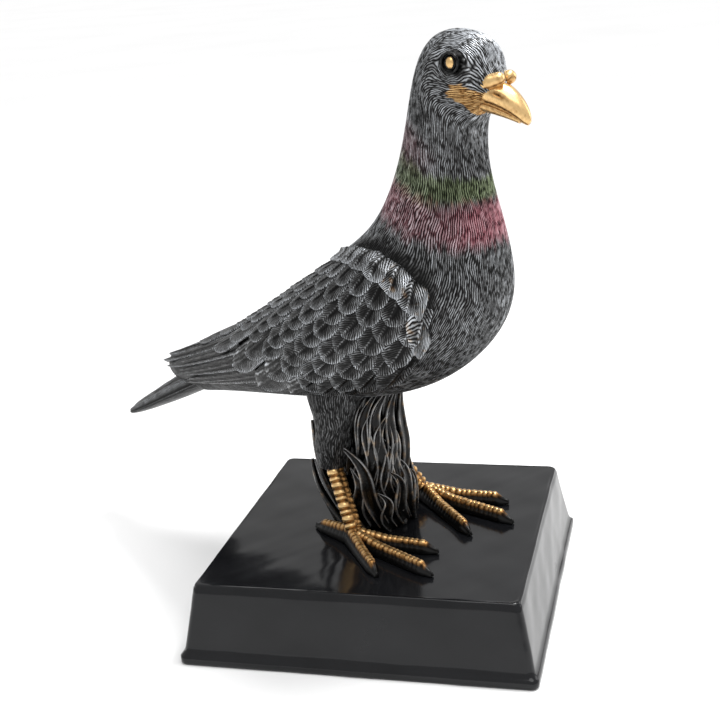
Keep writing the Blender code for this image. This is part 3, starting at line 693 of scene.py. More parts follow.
def feather_form(length, half, front, rng):
    """One feather: shares along and across, half widths as shares, its carving in mm and its painting marks.

    Barbs slant back from a shaft, which has a ditch beside it. The upper side of a long feather has
    lengthwise grooves instead, with dark seams.
    """
    share, across, widths, x, y, gap = feather_outline(length, half)
    long_kind = length > LONG_FROM
    down = share[:, None]
    bow = half * rng.uniform(0.05, 0.16) * np.sin(share * 2.6 + rng.uniform(-0.5, 0.5))
    off = x + (half * rng.uniform(0.0, 0.22) - bow)[:, None]
    wobble = np.sin(y * 0.9 + rng.uniform(0, 6)) + np.sin(x * 1.5 + y * 0.5 + rng.uniform(0, 6))
    lean = 0.8 if long_kind else 0.85 + 0.7 * down
    barbs = (y - lean * np.abs(off) + 0.15 * wobble) / rng.uniform(*BARB_PITCH) + rng.uniform(0, 1)
    grooves = (off + 0.14 * wobble) / GROOVE_PITCH + 0.5
    upper = between(x, 0.25 * half, -0.10 * half) if long_kind else np.zeros_like(x)
    shaft = np.clip(1 - np.abs(off) / 0.5, 0, 1) ** 0.7 * between(down, 0.93, 0.81) * (1 - upper)
    ditch = bump(off, 0.85, 0.42) * between(down, 0.9, 0.6) * (1 - upper)
    rim = bump(gap, 0.25, 0.4)
    ridge = ridges_of(barbs) * (1 - upper) + ridges_of(grooves) * upper
    cut = np.clip(0.95 - 0.5 * shaft - 0.2 * rim, 0, 1)
    height = BARB_CUT * (ridge - 1) * cut + 0.1 * rim - 0.5 * ditch + 0.35 * shaft + BARB_CUT
    relief = 0.42 + 0.46 * between(gap, 0.8 * half, 0) + 0.06 * rim - 0.5 * ditch + 0.30 * shaft
    relief = relief + 0.05 * wobble + 0.12 * upper
    seam = bump(x, -0.93 * half, 0.9) + 0.6 * bump(x, -0.35 * half, 0.5)
    relief = relief * (1 - 0.75 * seam * upper) * rng.uniform(0.86, 1.0)
    if front:
        relief = relief + 0.14 + 0.16 * between(down, 0.55, 0.25)
    marks = {"line": barbs, "line_next": grooves, "line_mix": upper, "cut": cut,
             "relief": np.clip(relief, 0, 1.1), "run": y * upper + (1 - upper) * 1.4 * off,
             "broken": np.full_like(x, 0.45)}
    return share, across, widths / half, height * smooth_step(gap / 0.3), marks


def feather(piece, side, turn, tip, length, width, rng, spread=None):
    """One feather on the wing, its round end raised over the next; a spread in degrees sets its width."""
    kind = "flight" if spread else "front" if tip < FRONT_REACH else "covert"
    root_rise, drop, tilt = FEATHER_KINDS[kind]
    length = min(length, tip + 0.3)
    half = width / 2
    if spread:
        half = float(spread / 2 * degree_width(wing_station(turn, tip - length * 0.4), turn))
    share, across, widths, carving, marks = feather_form(length, half, kind == "front", rng)
    distance = tip - length * (1 - share)
    place = wing_station(turn, distance)
    girth = degree_width(place, turn)
    reach = spread / 2 if spread else half / girth
    skew = 0 * girth if spread else FEATHER_SKEW * (share - 0.6) * length / girth
    degrees = turn + skew[:, None] + across[None, :] * (reach * widths)[:, None]
    stations = np.broadcast_to(place[:, None], degrees.shape)
    lift = root_rise + (1 - root_rise) * share
    if kind == "front":
        lift = lift * np.sqrt(1 - (1 - share * length / FRONT_ROUNDING).clip(0) ** 2)
        along_edge = np.array([[wing_station(bearing, behind) for bearing in row]
                               for row, behind in zip(degrees, distance)])
        stations = stations + (along_edge - stations) * (1 - FRONT_FREE_SHARE * between(turn, *FRONT_FREE))
    crown = 1 - drop * across**2 + tilt * across
    height = np.pad(FEATHER_RISE * lift[:, None] * crown[None, :] - FEATHER_SINK + carving, 1, mode="edge")
    marks = {key: np.pad(value, 1, mode="edge") for key, value in marks.items()}
    for border in ((slice(None), (0, -1)), ((0, -1), slice(None))):
        height[border] -= FEATHER_SIDE
        marks["relief"][border] = 0
    points = skin_point(np.pad(stations, 1, mode="edge"), side * np.pad(degrees, 1, mode="edge"), height)
    if kind == "front" and turn > FRONT_GILT_FROM:
        marks["gold"] = 0.30 * smooth_step(waves(points, 3.0, 77) - 0.5)
    if side < 0:
        points = points[:, ::-1]
        marks = {key: value[:, ::-1] for key, value in marks.items()}
    piece.grid(points, marks)


def rank_of_feathers(piece, side, tip, length, width, number, rng):
    """A row of feathers across the wing, at a distance behind its front edge; every other row is shifted."""
    turn = WING_HIGH_DEGREES + 4 + RANK_SHIFT * (number % 2)
    front = tip < FRONT_REACH
    ragged = 0.2 if front else 0.6
    while turn <= WING_LAST_DEGREES - 4:
        place = float(wing_station(turn, tip))
        if turn > np.interp(place, WING_LOW_STATION, WING_LOW_DEGREES) - 3:
            return
        if place < BODY_END - 0.25:
            own_width = width * FRONT_WIDER if front else width
            feather(piece, side, turn, tip + rng.uniform(-ragged, ragged), length, own_width, rng)
        turn += width * RANK_STEP / float(degree_width(place, turn))


def make_wing(side, name, material):
    """Flight feathers, longer coverts, and the scalloped ranks up to the wing's front edge."""
    rng = np.random.default_rng(71 if side < 0 else 72)
    long_part, scallops = Piece(), Piece()
    spread = (FLIGHT_DEGREES[1] - FLIGHT_DEGREES[0]) / (FLIGHT_FEATHERS - 1)
    for k in range(FLIGHT_FEATHERS):
        turn = FLIGHT_DEGREES[0] + spread * k
        reach = WING_LINES[2 * round(turn / 2)][1][-1] + FLIGHT_BEYOND - FLIGHT_STEP * abs(k - 1)
        feather(long_part, side, turn, reach, FLIGHT_LENGTH, 0, rng, spread)
    for number, (tip, length) in enumerate(reversed(LONG_RANKS)):
        rank_of_feathers(long_part, side, tip, length, LONG_WIDTH, number, rng)
    for number in range(COVERT_RANKS, 0, -1):
        tip = FIRST_TIP + number * COVERT_PITCH
        rank_of_feathers(scallops, side, tip, COVERT_LENGTH, COVERT_WIDTH, number, rng)
    long_part.make(f"{name}_long_feathers", material)
    scallops.make(f"{name}_coverts", material)


def make_tail(material):
    """Folded tail: an arched blade with lengthwise grooves on top and barbed lower edges."""
    rows, columns = TAIL_GRID
    turns = np.linspace(0, 2 * math.pi, columns + 1)
    high = np.sin(turns)
    beads = np.sin(turns * TAIL_FEATHERS)
    ridges = np.abs(beads) * (high > -0.2)
    slope = math.atan2(TAIL[0][1] - TAIL[-1][1], TAIL[0][0] - TAIL[-1][0])
    forward, up, half_across, half_high = spline_rows(TAIL, rows).T[..., None]
    lift = high * half_high * np.where(high < 0, 0.55, 1.0) + TAIL_GROOVE * ridges
    grid = np.stack([forward - lift * math.sin(slope), np.cos(turns) * half_across,
                     up + lift * math.cos(slope)], axis=-1)
    run = np.broadcast_to((TAIL[0][0] - forward) / math.cos(slope), lift.shape)
    barbs = (run - 6 * np.abs(beads) + 0.3 * waves(grid, 7.0, 51)) / 1.2
    fine = turns * 18 / math.pi + 0.35 * waves(grid, 12.0, 52)
    edge = np.broadcast_to(between(np.abs(high), 0.5, 0.3), lift.shape)
    relief = 0.22 + 0.55 * ridges**0.7 + 0.12 * between(-high, 0.15, 0.35) + 0.05 * waves(grid, 6.0, 53)
    relief = relief * (1 - 0.95 * bump(beads, 0, 0.30) * between(high, -0.35, -0.15))
    pattern = ridges_of(barbs) * edge + ridges_of(fine) * (1 - edge)
    grid = grid - outward_of(grid) * ((1 - pattern) * TAIL_CUT)[..., None]
    piece = Piece()
    piece.grid(grid, {"relief": relief, "cut": 0.9, "line": fine, "line_next": barbs, "line_mix": edge,
                      "run": run, "broken": 0.2})
    tip = grid[-1]
    piece.grid(np.stack([tip, np.broadcast_to(tip.mean(0), tip.shape)]), {"relief": 0.4})
    piece.make("bird_tail", material)


def ring(middle, across, upright, radius_across, radius_up, count):
    """Oval ring of points."""
    turns = np.linspace(0, 2 * math.pi, count, endpoint=False)[:, None]
    return (np.asarray(middle, float) + np.cos(turns) * radius_across * np.asarray(across, float)
            + np.sin(turns) * radius_up * np.asarray(upright, float))


def half_beak(stations, upper):
    """Grid of one half of the beak, with a low ridge on top, and its painted light: lighter towards the top,
    painted shade in the gape line and nostrils, and the lower half a little darker.
    """
    dip = np.array((math.sin(BEAK_SLOPE), 0, math.cos(BEAK_SLOPE)))
    rows, count = BEAK_GRID
    turns = np.linspace(0, 2 * math.pi, count, endpoint=False)
    high = np.sin(turns)
    ridge = bump(turns, math.pi / 2, 0.22) if upper else 0
    groove = bump(high, -0.42, 0.10) if upper else bump(high, 0.55, 0.14)
    grid = np.zeros((rows, count, 3))
    relief = np.zeros((rows, count))
    for i, (forward, up, wide, tall) in enumerate(spline_rows(stations, rows)):
        share = i / (rows - 1)
        nostril = bump(high, 0.42, 0.13) * bump(share, 0.34, 0.10) if upper else 0
        scale = 0.98 - 0.045 * groove * (1 - share**6) + 0.02 * ridge - 0.07 * nostril
        grid[i] = ring((0, 0, 0), (0, 1, 0), dip, max(wide, 0.3), max(tall, 0.3), count) * scale[:, None]
        grid[i] += (forward, 0, up)
        # Painted light: lighter towards the top, painted shade in the gape line and nostrils; the lower half
        # a little darker.
        relief[i] = 0.78 + 0.14 * high - 0.6 * groove - 0.7 * nostril - (0 if upper else 0.12)
    return grid, relief


def make_beak(material):
    """Both halves of the beak, and the two ceres over its root."""
    piece = Piece()
    for stations, upper in ((BEAK_UPPER, True), (BEAK_LOWER, False)):
        grid, relief = half_beak(stations, upper)
        grain = 0.10 * waves(grid, 1.6, 81) + 0.06 * waves(grid, 0.8, 82)
        piece.tube(grid, {"relief": np.clip(relief + grain, 0, 1), "gold": 1.0})
    rows, count = CERE_GRID
    shares = -0.24 + 1.48 * (0.5 - 0.5 * np.cos(np.linspace(0.02, math.pi - 0.02, rows)))
    beyond = np.maximum(0, np.maximum(-shares, shares - 1)) / 0.25
    radii = np.sqrt(np.clip(1 - beyond**2, 0.002, 1)) * np.interp(shares, *CERE_RADIUS)
    low = np.sin(np.linspace(0, 2 * math.pi, count, endpoint=False))[None, :]
    for side in (1, -1):
        back, front = (mirrored(place, side) for place in (CERE_BACK, CERE_FRONT))
        across = np.cross((0, 0, 1), unit(front - back))
        upright = np.cross(unit(front - back), across)
        grid = np.array([ring(back + (front - back) * share, across, upright, radius, radius, count)
                         for share, radius in zip(shares, radii)])
        # Painted light: the ceres are lighter towards the top; a darker line runs low along their sides.
        relief = 0.80 + 0.15 * low - 0.5 * bump(low, -0.55, 0.14) + 0.10 * waves(grid, 2.0, 83)
        piece.tube(grid, {"relief": np.clip(relief, 0, 1), "gold": 1.0})
    piece.make("bird_beak", material)


def egg(piece, middle, size, marks):
    """Egg-shaped ball with its three half sizes."""
    rows = np.linspace(0.03, math.pi - 0.03, 24)
    turns = np.linspace(0, 2 * math.pi, 48, endpoint=False)
    wide = np.sin(rows)[:, None]
    ball = np.stack([np.broadcast_to(np.cos(rows)[:, None], (24, 48)), wide * np.cos(turns),
                     wide * np.sin(turns)], axis=-1)
    piece.tube(np.asarray(middle, float) + ball * size, marks)


def make_eyes(lid, bead, iris):
    """Eyes: a glossy dark bead in a low lumpy rim, with a gilt dome on it."""
    rims, beads, domes = Piece(), Piece(), Piece()
    turns = np.linspace(0, 2 * math.pi, 72, endpoint=False)
    small = np.linspace(0, 2 * math.pi, 16, endpoint=False)
    faces = grid_faces(len(turns) + 1, len(small), True) % (len(turns) * len(small))
    lumps = 1 + 0.14 * np.cos(turns * 9) + 0.1 * np.cos(turns * 4 + 1)
    swell = np.sin(small)[None, :] * lumps[:, None]
    radius = EYE_RADIUS + 0.35 + 0.50 * np.cos(small)[None, :]
    light = np.clip(0.10 + 0.22 * swell, 0, 1)
    for side in (1, -1):
        place = mirrored(EYE, side)
        grid = np.stack([place[0] + radius * np.cos(turns)[:, None], place[1] + side * (1.25 + 0.70 * swell),
                         place[2] + radius * np.sin(turns)[:, None]], axis=-1)
        rims.add(grid, [faces if side > 0 else faces[:, ::-1]], {"relief": light})
        egg(beads, place, (EYE_RADIUS, 2.3, EYE_RADIUS), {"relief": 0.1})
        egg(domes, place + (0.3, side * 1.05, 0.1), (1.75, 1.7, 2.15), {"relief": 0.8, "gold": 1.0})
    rims.make("eye_rims", lid)
    beads.make("eye_beads", bead)
    domes.make("eye_irises", iris)


def leg_middle(side):
    """Middle of one foot, to the left of the bird's middle plane."""
    return FEET_MIDDLE + side * LEG_SPREAD


def leg_point(side, place, share):
    """Point of a leg; the left leg's knee is set a little back and in, by the share given."""
    forward, out, up = place
    if side > 0:
        forward += LEFT_KNEE_SHIFT[0] * share
        out += LEFT_KNEE_SHIFT[1] * share
    return np.array((forward, leg_middle(side) + side * out, up))


def make_thighs(material):
    """Feathered thighs, combed downwards."""
    piece = Piece()
    rows, count = THIGH_GRID
    for side in (1, -1):
        grid = np.array([ring(leg_point(side, row[:3], 1), (1, 0, 0), (0, 1, 0), row[3], row[4], count)
                         for row in spline_rows(THIGH, rows)])
        grid = np.concatenate([grid, grid[:, :1]], axis=1)
        marks, cut, _, _ = combed(grid, np.full(rows, THIGH_PITCH), 43 + side)
        marks["relief"] = marks["relief"] - THIGH_DARKER
        piece.grid(grid - outward_of(grid) * (cut * THIGH_CUT)[..., None], marks)
    piece.make("bird_thighs", material)


def foot_point(side, along, out):
    """A point of the foot in the bird's frame, by its distance along and outwards from the foot's line."""
    left = side * out
    return (FOOT_FORWARD + along * math.cos(FOOT_TURN) - left * math.sin(FOOT_TURN),
            leg_middle(side) + along * math.sin(FOOT_TURN) + left * math.cos(FOOT_TURN))


def make_tarsi(piece):
    """Scaled shanks: plates across the front and a column of beads down the outer side."""
    ring_rows, count = TARSUS_GRID
    steps = TARSUS_RINGS * ring_rows
    turns = np.linspace(0, 2 * math.pi, count, endpoint=False)
    for side in (1, -1):
        top = leg_point(side, TARSUS_TOP, 1)
        low = leg_point(side, TARSUS_LOW, 0.5)
        front = unit(np.cross(unit(low - top), (0, 1, 0)))
        across = np.cross(front, unit(low - top))
        outline = np.cos(turns)[:, None] * across * 0.92 + np.sin(turns)[:, None] * front
        bearing = np.degrees(np.arctan2(outline[:, 1] * side, outline @ front))
        from_beads, from_plates = (bearing - middle for middle, _ in (TARSUS_BEADS, TARSUS_PLATES))
        bead_share = np.exp(-(from_beads / TARSUS_BEADS[1]) ** 4) * (1 - (from_beads / 95) ** 2).clip(0, 1)
        plate_share = np.exp(-(from_plates / TARSUS_PLATES[1]) ** 4)
        grid = np.zeros((steps + 1, count, 3))
        relief = np.zeros((steps + 1, count))
        for i in range(steps + 1):
            phase = i / ring_rows + 0.10 * math.sin(i * 0.22 + side)
            beads = ridges_of(phase) ** 0.55 * bead_share
            plates = ridges_of(phase * 1.25 + 0.0035 * bearing) ** 0.45 * plate_share
            swell = np.maximum(beads * 1.15, plates * 0.7)
            radius = (TARSUS_RADIUS - 0.5 + swell * 1.25)[:, None]
            grid[i] = top + (low - top) * i / steps + radius * outline
            relief[i] = np.clip(0.08 + swell * 0.72, 0, 1)
        piece.tube(grid, {"relief": relief + 0.07 * waves(grid, 3.0, 91), "gold": 1.0})


def add_toe(piece, side, angle, reach):
    """One ringed gilt toe on a dark web that reaches the plinth, ending in a dark claw."""
    section = np.array(TOE_SECTION)
    x, z = np.concatenate([section * (-1, 1), section[-2::-1]]).T
    root, middle, tip = TOE_HEIGHT
    steps = int(reach / TOE_RING_PITCH * TOE_ROWS)
    heading = angle * side + FOOT_TURN
    across = np.array((-math.sin(heading), math.cos(heading), 0))
    grid = np.zeros((steps + 1, len(x), 3))
    relief, gold = np.zeros((2, steps + 1, len(x)))
    for i, run in enumerate(np.linspace(0, reach, steps + 1)):
        forward, left = foot_point(side, run * math.cos(angle), run * math.sin(angle))
        claw = between(run, reach - CLAW_LENGTH, reach)
        ringed = ridges_of(run / TOE_RING_PITCH + 0.12 * math.sin(run * 0.7)) ** 0.6 * (1 - min(1, 4 * claw))
        thin = (1 - 0.25 * run / reach) * (1 - 0.6 * claw)
        half = (TOE_RADIUS - 0.45 + 0.3 * ringed) * thin
        top = root + (middle - root) * min(1, run / TOE_SLOPE) + (tip - middle) * claw + half * 0.2
        wide = np.where(z > 0.5, half, TOE_WEB * thin)
        grid[i] = np.array((forward, left, 0)) + across * (x * wide)[:, None]
        grid[i, :, 2] = np.maximum((top - 0.3 + 0.3 * ringed) * z, SEAT_GAP / UNIT)
        gold[i] = between(z, 0.66, 0.76) * (1 - smooth_step(claw * 2.2 - 0.5))
        relief[i] = np.where(z > 0.5, (0.18 + 0.62 * ringed) * z**2, 0.3 * z)
    piece.tube(grid, {"relief": relief + 0.12 * waves(grid, 3.5, 92), "gold": gold})


def make_feet(material):
    """Shanks and toes of both legs."""
    legs = Piece()
    make_tarsi(legs)
    for side, toes in ((1, LEFT_TOES), (-1, RIGHT_TOES)):
        for bearing, reach in toes:
            add_toe(legs, side, math.radians(bearing), reach)
    legs.make("bird_feet", material)


def core_size(up):
    """Middle, half length and half width of the clump's core at a height."""
    table = np.array(CLUMP_CORE)
    return [np.interp(up, table[:, 0], table[:, k]) for k in (1, 2, 3)]


def core_point(bearing, up, stand_off):
    """Point round the clump's core, by its bearing from straight ahead to the left."""
    middle, long, wide = core_size(up)
    angle = math.radians(bearing)
    return np.array((middle + (long + stand_off) * math.cos(angle),
                     FEET_MIDDLE + (wide + stand_off) * math.sin(angle), up))


def leaf_path(root_bearing, root_up, tip_bearing, tip_up, stand_off):
    """Middle line of a leaf: it leaves the core, bulges and turns out at its tip."""
    path = []
    for share in np.linspace(0, 1, LEAF_GRID[0]):
        sway = LEAF_SWAY * math.sin(2 * math.pi * share) * (1 if tip_bearing > root_bearing else -1)
        bearing = root_bearing + (tip_bearing - root_bearing) * share**1.6 + sway
        lift = 0.4 + LEAF_BULGE * math.sin(math.pi * share) + stand_off * share**3
        path.append(core_point(bearing, root_up + (tip_up - root_up) * share, lift))
    return np.array(path)


def rear_leaf_path(root, tip):
    """Middle line of a leaf behind a thigh: it rises, bulges back and turns in at its tip."""
    shares = np.linspace(0, 1, LEAF_GRID[0])[:, None]
    bow = np.array((-REAR_LEAF_BOW, 0, 0)) * np.sin(math.pi * shares)
    return np.array(root) + (np.array(tip) - root) * shares + bow


def add_leaf(piece, path, leaf_width):
    """Pointed leaf along a line of points: raised rims on both sides of a hollow with fine veins."""
    steps, count = LEAF_GRID
    along = unit(np.gradient(path, axis=0))
    turns = np.linspace(0, 2 * math.pi, count, endpoint=False)
    x, high = np.cos(turns), np.sin(turns)
    face = (high > 0) * 1.0
    hollow = np.exp(-(np.abs(x) / 0.62) ** 4)
    rim = bump(np.abs(x), 0.80, 0.27) * between(high, -0.35, 0.05)
    section = high * (1 - 0.72 * face * hollow) + 0.35 * rim * face + 0.07 * np.cos(x * LEAF_VEINS) * face
    grid = np.zeros((steps, count, 3))
    relief = np.zeros((steps, count))
    for i, share in enumerate(np.linspace(0, 1, steps)):
        outward = path[i] - (core_size(path[i][2])[0], FEET_MIDDLE, path[i][2])
        across = unit(np.cross(along[i], outward))
        outward = np.cross(across, along[i])
        swell = 0.25 + 0.75 * math.sin(math.pi * min(1, 0.25 + 0.6 * share))
        half = leaf_width / 2 * swell * (1 - share**4 * 0.93)
        thick = LEAF_THICKNESS * (1 - 0.6 * share)
        grid[i] = path[i] + (x * half)[:, None] * across + (section * thick)[:, None] * outward
        veins = 0.5 + 0.5 * np.cos(x * LEAF_VEINS + 1.5 * math.sin(share * 7))
        light = rim * (0.62 + 0.35 * share) + 0.5 * veins * face * hollow * (0.3 + 0.7 * share)
        relief[i] = np.clip(light, 0, 1)
    flecks = np.clip(waves(grid, 2.4, 87) - 0.4, 0, 1)
    piece.tube(grid, {"relief": np.clip(relief * (0.97 + 0.12 * waves(grid, 9.0, 88)), 0, 1),
                      "gold": relief * flecks * 0.4})


def make_clump(material):
    """Grass between the legs, from the plinth up to the belly, and the same leaves again behind."""
    piece = Piece()
    rows = np.linspace(SEAT_GAP / UNIT, CLUMP_TOP, 44)
    bearings = np.arange(0, 360, 3)
    folds = np.cos(np.radians(bearings[None, :] * 9 + rows[:, None] * 3))
    grid = np.array([[core_point(bearing, up, 0.7 * fold - 0.5) for bearing, fold in zip(bearings, line)]
                     for up, line in zip(rows, folds)])
    piece.tube(grid, {"relief": 0.35 + 0.35 * folds})
    for root_bearing, root_up, tip_bearing, tip_up, stand_off, width in LEAVES:
        add_leaf(piece, leaf_path(root_bearing, root_up, tip_bearing, tip_up, stand_off), width)
        behind = leaf_path(root_bearing + 180, root_up, tip_bearing + 180, tip_up, BACK_STAND_OFF)
        add_leaf(piece, behind, width)
    for leaf in REAR_LEAVES:
        add_leaf(piece, rear_leaf_path(leaf[:3], leaf[3:6]), leaf[6])
    piece.make("grass_clump", material)


def square_outline(half, height):
    """Points round a square with small round corners, at a height."""
    flat = half - CORNER_RADIUS
    bend = np.linspace(0, math.pi / 2, CORNER_STEPS)
    side = flat * np.linspace(1, -1, SIDE_STEPS)[1:-1]
    x = np.concatenate([flat + CORNER_RADIUS * np.cos(bend), side])
    y = np.concatenate([flat + CORNER_RADIUS * np.sin(bend), np.full(len(side), half)])
    quarters = ((x, y), (-y, x), (-x, -y), (y, -x))
    return np.concatenate([np.stack([a, b, np.full(len(x), height)], axis=-1) for a, b in quarters])


def make_plinth(material):
    """Square block with leaning sides on a low lip, its edges soft and slightly uneven."""
    top_half = PLINTH_SIDE / 2
    low_half = top_half + PLINTH_SPLAY
    lip_half = low_half + LIP_OVERHANG
    rows = [(lip_half - LIP_SOFT, 0.0), (lip_half, LIP_SOFT), (lip_half, LIP_HEIGHT - LIP_SOFT * 2),
            (lip_half - LIP_SOFT, LIP_HEIGHT - LIP_SOFT),
            (low_half + LIP_SOFT * 0.6, LIP_HEIGHT - LIP_SOFT * 0.3)]
    for share in np.linspace(0.02, 0.94, 14):
        rows.append((low_half - PLINTH_SPLAY * share, LIP_HEIGHT + (PLINTH_HEIGHT - LIP_HEIGHT) * share))
    for turn in np.linspace(0, math.pi / 2, 6):
        rows.append((top_half - EDGE_SOFT + EDGE_SOFT * math.cos(turn),
                     PLINTH_HEIGHT - EDGE_SOFT + EDGE_SOFT * math.sin(turn)))
    outlines = [square_outline(half, height) for half, height in rows]
    bottom = outlines[0] * (0.2, 0.2, 1)
    top = [outlines[-1] * (share, share, 1) for share in np.linspace(0.985, 0.02, 34)]
    grid = np.array([bottom, *outlines, *top])
    bumps = sum(reach * waves(grid / UNIT, size, 61 + n) for n, (reach, size) in enumerate(PLINTH_WAVES))
    flat_top = grid[..., 2] > PLINTH_HEIGHT - 1e-6
    sides = (grid[..., 2] > 0.0002) & ~flat_top
    grid[..., 2] -= np.where(flat_top, (TOP_INSET + bumps * 0.8) * UNIT, 0)
    grid[..., :2] *= (1 - np.where(sides, FACE_INSET + bumps, 0) * UNIT / INSET_HALF_SIDE)[..., None]
    piece = Piece()
    piece.tube(from_world(grid), {"relief": 0.0})
    piece.make("plinth_block", material, "plinth", "plinth")


class Nodes:
    """Short way to lay out a material's nodes."""

    def __init__(self, name):
        self.material = bpy.data.materials.new(name)
        self.material.use_nodes = True
        self.tree = self.material.node_tree
        self.shader = self.tree.nodes["Principled BSDF"]

    def add(self, kind, **settings):
        """A node with its settings."""
        node = self.tree.nodes.new(kind)
        for key, value in settings.items():
            setattr(node, key, value)
        return node

    def link(self, source, target):
        """A line from one socket to another."""
        self.tree.links.new(source, target)

    def surface(self, **sources):
        """Lines to the shader's sockets, named with underscores."""
        for key, source in sources.items():
            self.link(source, self.shader.inputs[key.replace("_", " ")])

    def mark(self, name):
        """A painting mark of the piece."""
        return self.add("ShaderNodeAttribute", attribute_name=name).outputs["Fac"]

    def math(self, operation, first, second=0):
        """A sum of two values or sockets."""
        node = self.add("ShaderNodeMath", operation=operation)
        for socket, value in zip(node.inputs, (first, second)):
            if isinstance(value, (int, float)):
                socket.default_value = value
            else:
                self.link(value, socket)
        return node.outputs[0]

    def noise(self, scale, detail=3.0):
        """Noise over the piece's own coordinates."""
        where = self.add("ShaderNodeTexCoord").outputs["Object"]
        node = self.add("ShaderNodeTexNoise")
        node.inputs["Scale"].default_value = scale
        node.inputs["Detail"].default_value = detail
        self.link(where, node.inputs["Vector"])
        return node.outputs["Fac"]

    def ramp(self, value, stops):
        """Colours by a value; a stop is a place with a grey or a colour."""
        node = self.add("ShaderNodeValToRGB")
        elements = node.color_ramp.elements
        while len(elements) < len(stops):
            elements.new(0.5)
        for element, (place, colour) in zip(elements, stops):
            element.position = place
            element.color = (*colour, 1) if isinstance(colour, tuple) else (colour, colour, colour, 1)
        self.link(value, node.inputs["Fac"])
        return node.outputs["Color"]

    def mix(self, share, first, second):
        """The second colour over the first by a share."""
        node = self.add("ShaderNodeMix", data_type="RGBA")
        self.link(share, node.inputs["Factor"])
        self.link(first, node.inputs["A"])
        self.link(second, node.inputs["B"])
        return node.outputs["Result"]


def strokes(nodes, mark):
    """Carved lines as strokes of their own length and height: 0 in the grooves to 1 along the ridges."""
    wander = nodes.math("SUBTRACT", nodes.noise(480.0, 1.0), 0.5)
    place = nodes.math("ADD", nodes.mark(mark), nodes.math("MULTIPLY", wander, 0.9))
    number = nodes.math("FLOOR", place)
    chance = nodes.add("ShaderNodeTexWhiteNoise", noise_dimensions="1D")
    nodes.link(number, chance.inputs["W"])
    shift = nodes.math("MULTIPLY", chance.outputs["Value"], 7.0)
    length = nodes.math("ADD", nodes.math("MULTIPLY", nodes.mark("run"), 1 / STROKE_LENGTH), shift)
    share = nodes.math("FRACT", length)
    ends = nodes.math("MINIMUM", share, nodes.math("SUBTRACT", 1, share))
    taper = nodes.math("MINIMUM", nodes.math("MULTIPLY", ends, 6.0), 1)
    draw = nodes.add("ShaderNodeTexWhiteNoise", noise_dimensions="2D")
    pair = nodes.add("ShaderNodeCombineXYZ")
    nodes.link(number, pair.inputs["X"])
    nodes.link(nodes.math("FLOOR", length), pair.inputs["Y"])
    nodes.link(pair.outputs["Vector"], draw.inputs["Vector"])
    drawn = nodes.math("ADD", nodes.math("MULTIPLY", draw.outputs["Value"], 0.36), 0.64)
    lack = nodes.math("MULTIPLY", nodes.math("SUBTRACT", 1, nodes.math("MULTIPLY", taper, drawn)), 0.62)
    dim = nodes.math("SUBTRACT", 1, nodes.math("MULTIPLY", lack, nodes.mark("broken")))
    wave = nodes.math("ABSOLUTE", nodes.math("SINE", nodes.math("MULTIPLY", place, math.pi)))
    return nodes.math("MULTIPLY", wave, dim)


def painted(name, base, metallic, gloss, depth=PAINT_BUMP, uneven=1.0):
    """Paint over a cast form: dark in the cuts, dry-brushed on the ridges, with the painted marks over it."""
    nodes = Nodes(name)
    grain = nodes.noise(1100.0)
    cloud = nodes.noise(55.0, 4.0)
    ridges = [strokes(nodes, mark) for mark in ("line", "line_next")]
    swing = nodes.math("MULTIPLY", nodes.math("SUBTRACT", ridges[1], ridges[0]), nodes.mark("line_mix"))
    ridge = nodes.math("ADD", ridges[0], swing)
    groove = nodes.math("MULTIPLY", nodes.math("SUBTRACT", 1, ridge), nodes.mark("cut"))
    height = nodes.math("MULTIPLY", nodes.mark("relief"), nodes.math("SUBTRACT", 1, groove))
    for noise, strength in ((grain, 0.30), (cloud, 0.14)):
        speckle = nodes.math("MULTIPLY", nodes.math("SUBTRACT", noise, 0.5), strength * uneven)
        height = nodes.math("ADD", height, speckle)
    colour = nodes.ramp(height, base)
    for mark, paint in (("green", GREEN_PAINT), ("pink", PINK_PAINT), ("gold", GILT_PAINT)):
        colour = nodes.mix(nodes.mark(mark), colour, nodes.ramp(height, paint))
    relief = nodes.add("ShaderNodeBump")
    relief.inputs["Distance"].default_value = depth
    nodes.link(height, relief.inputs["Height"])
    shine = nodes.math("MAXIMUM", nodes.math("MULTIPLY", nodes.mark("gold"), 0.85), metallic)
    rough = nodes.math("ADD", nodes.math("MULTIPLY", cloud, 0.16), gloss)
    nodes.surface(Base_Color=colour, Metallic=shine, Roughness=rough, Normal=relief.outputs["Normal"])
    nodes.shader.inputs["Specular IOR Level"].default_value = 0.3
    return nodes.material


def lacquer(name):
    """Black gloss casting paint, faintly clouded and dusty."""
    nodes = Nodes(name)
    colour = nodes.ramp(nodes.noise(45.0, 5.0), ((0.3, LACQUER_DARK), (0.7, LACQUER_LIGHT)))
    rough = nodes.math("ADD", nodes.math("MULTIPLY", nodes.noise(18.0, 6.0), 0.10), LACQUER_ROUGH)
    nodes.surface(Base_Color=colour, Roughness=rough)
    nodes.shader.inputs["IOR"].default_value = LACQUER_IOR
    return nodes.material


def make_floor():
    """Plain pale floor just under the plinth."""
    corners = [(x * FLOOR_SIZE, y * FLOOR_SIZE, -FLOOR_DROP) for x, y in ((-1, -1), (1, -1), (1, 1), (-1, 1))]
    data = bpy.data.meshes.new("floor")
    data.from_pydata(corners, [], [(0, 1, 2, 3)])
    nodes = Nodes("floor")
    nodes.surface(Base_Color=nodes.ramp(nodes.noise(3.0), ((0.2, 0.86), (0.8, 0.90))))
    nodes.shader.inputs["Roughness"].default_value = 0.9
    data.materials.append(nodes.material)
    floor = bpy.data.objects.new("floor", data)
    bpy.context.scene.collection.objects.link(floor)


def add_light(name, place, aim, size, power):
    """Soft square light at a place, pointed at its aim."""
    data = bpy.data.lights.new(name, "AREA")
    data.size = size
    data.energy = power
    light = bpy.data.objects.new(name, data)
    light.location = place
    light.rotation_euler = (Vector(aim) - Vector(place)).to_track_quat("-Z", "Y").to_euler()
    bpy.context.scene.collection.objects.link(light)


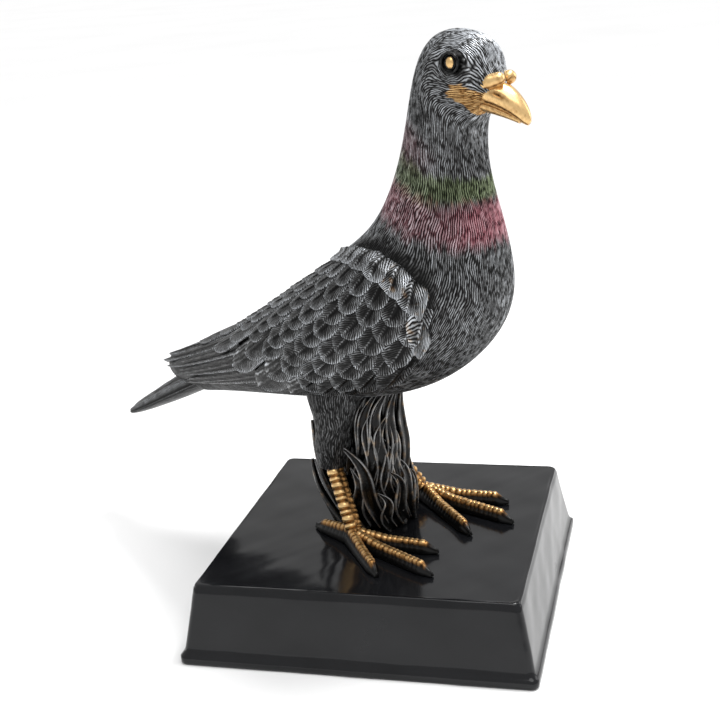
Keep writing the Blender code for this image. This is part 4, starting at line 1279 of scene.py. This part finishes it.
def make_stage():
    """Pale floor and lamps of a photo table, in a surround that is pure white to the camera only."""
    make_floor()
    world = bpy.data.worlds.new("surround")
    bpy.context.scene.world = world
    world.use_nodes = True
    tree = world.node_tree
    path = tree.nodes.new("ShaderNodeLightPath")
    share = tree.nodes.new("ShaderNodeMapRange")
    share.inputs["To Min"].default_value, share.inputs["To Max"].default_value = SURROUND
    tree.links.new(path.outputs["Is Camera Ray"], share.inputs["Value"])
    back = tree.nodes["Background"]
    tree.links.new(share.outputs["Result"], back.inputs["Strength"])
    back.inputs["Color"].default_value = (1.0, 1.0, 1.0, 1)
    sky = bpy.data.lights.new("sky", "SUN")
    sky.energy = SKY_POWER
    sky.angle = SKY_WIDTH
    sun = bpy.data.objects.new("sky", sky)
    sun.rotation_euler = SKY_TURN
    bpy.context.scene.collection.objects.link(sun)
    add_light("top", (0.25, 0.15, 0.80), (0.03, 0, 0.2), 0.16, 4.2)
    add_light("right", (0.75, 0.45, 0.45), (0, 0, 0.12), 0.5, 1.5)


def make_camera():
    """Camera at the photograph's viewpoint, as solved from the plinth's corners."""
    data = bpy.data.cameras.new("camera")
    data.sensor_width = CAMERA_SENSOR
    data.lens = CAMERA_LENS
    camera = bpy.data.objects.new("camera", data)
    place = Matrix((CAMERA_RIGHT, CAMERA_UP, CAMERA_BACK)).transposed().to_4x4()
    place.translation = Vector(CAMERA_PLACE)
    camera.matrix_world = place
    bpy.context.scene.collection.objects.link(camera)
    bpy.context.scene.camera = camera


def main():
    """The dressed statuette on its photo table."""
    bpy.context.scene.view_settings.view_transform = "Standard"
    plumage = painted("plumage", PLUMAGE_PAINT, 0.55, 0.25)
    gilt = painted("gilt", WEB_PAINT, 0.10, 0.22, GILT_BUMP, 0.3)
    leaf = painted("leaf_paint", LEAF_PAINT, 0.45, 0.12)
    make_body(plumage)
    make_wing(-1, "right_wing", plumage)
    make_wing(1, "left_wing", plumage)
    make_tail(plumage)
    make_thighs(plumage)
    make_beak(gilt)
    make_eyes(plumage, leaf, gilt)
    make_feet(gilt)
    make_clump(leaf)
    make_plinth(lacquer("plinth_lacquer"))
    make_stage()
    make_camera()


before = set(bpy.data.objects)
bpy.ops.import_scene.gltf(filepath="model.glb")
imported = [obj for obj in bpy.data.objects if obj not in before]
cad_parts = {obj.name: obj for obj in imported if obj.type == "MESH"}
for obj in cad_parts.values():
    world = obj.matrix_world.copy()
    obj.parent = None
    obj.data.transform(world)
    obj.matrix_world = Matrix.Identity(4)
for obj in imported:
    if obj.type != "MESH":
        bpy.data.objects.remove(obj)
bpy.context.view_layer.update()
main()
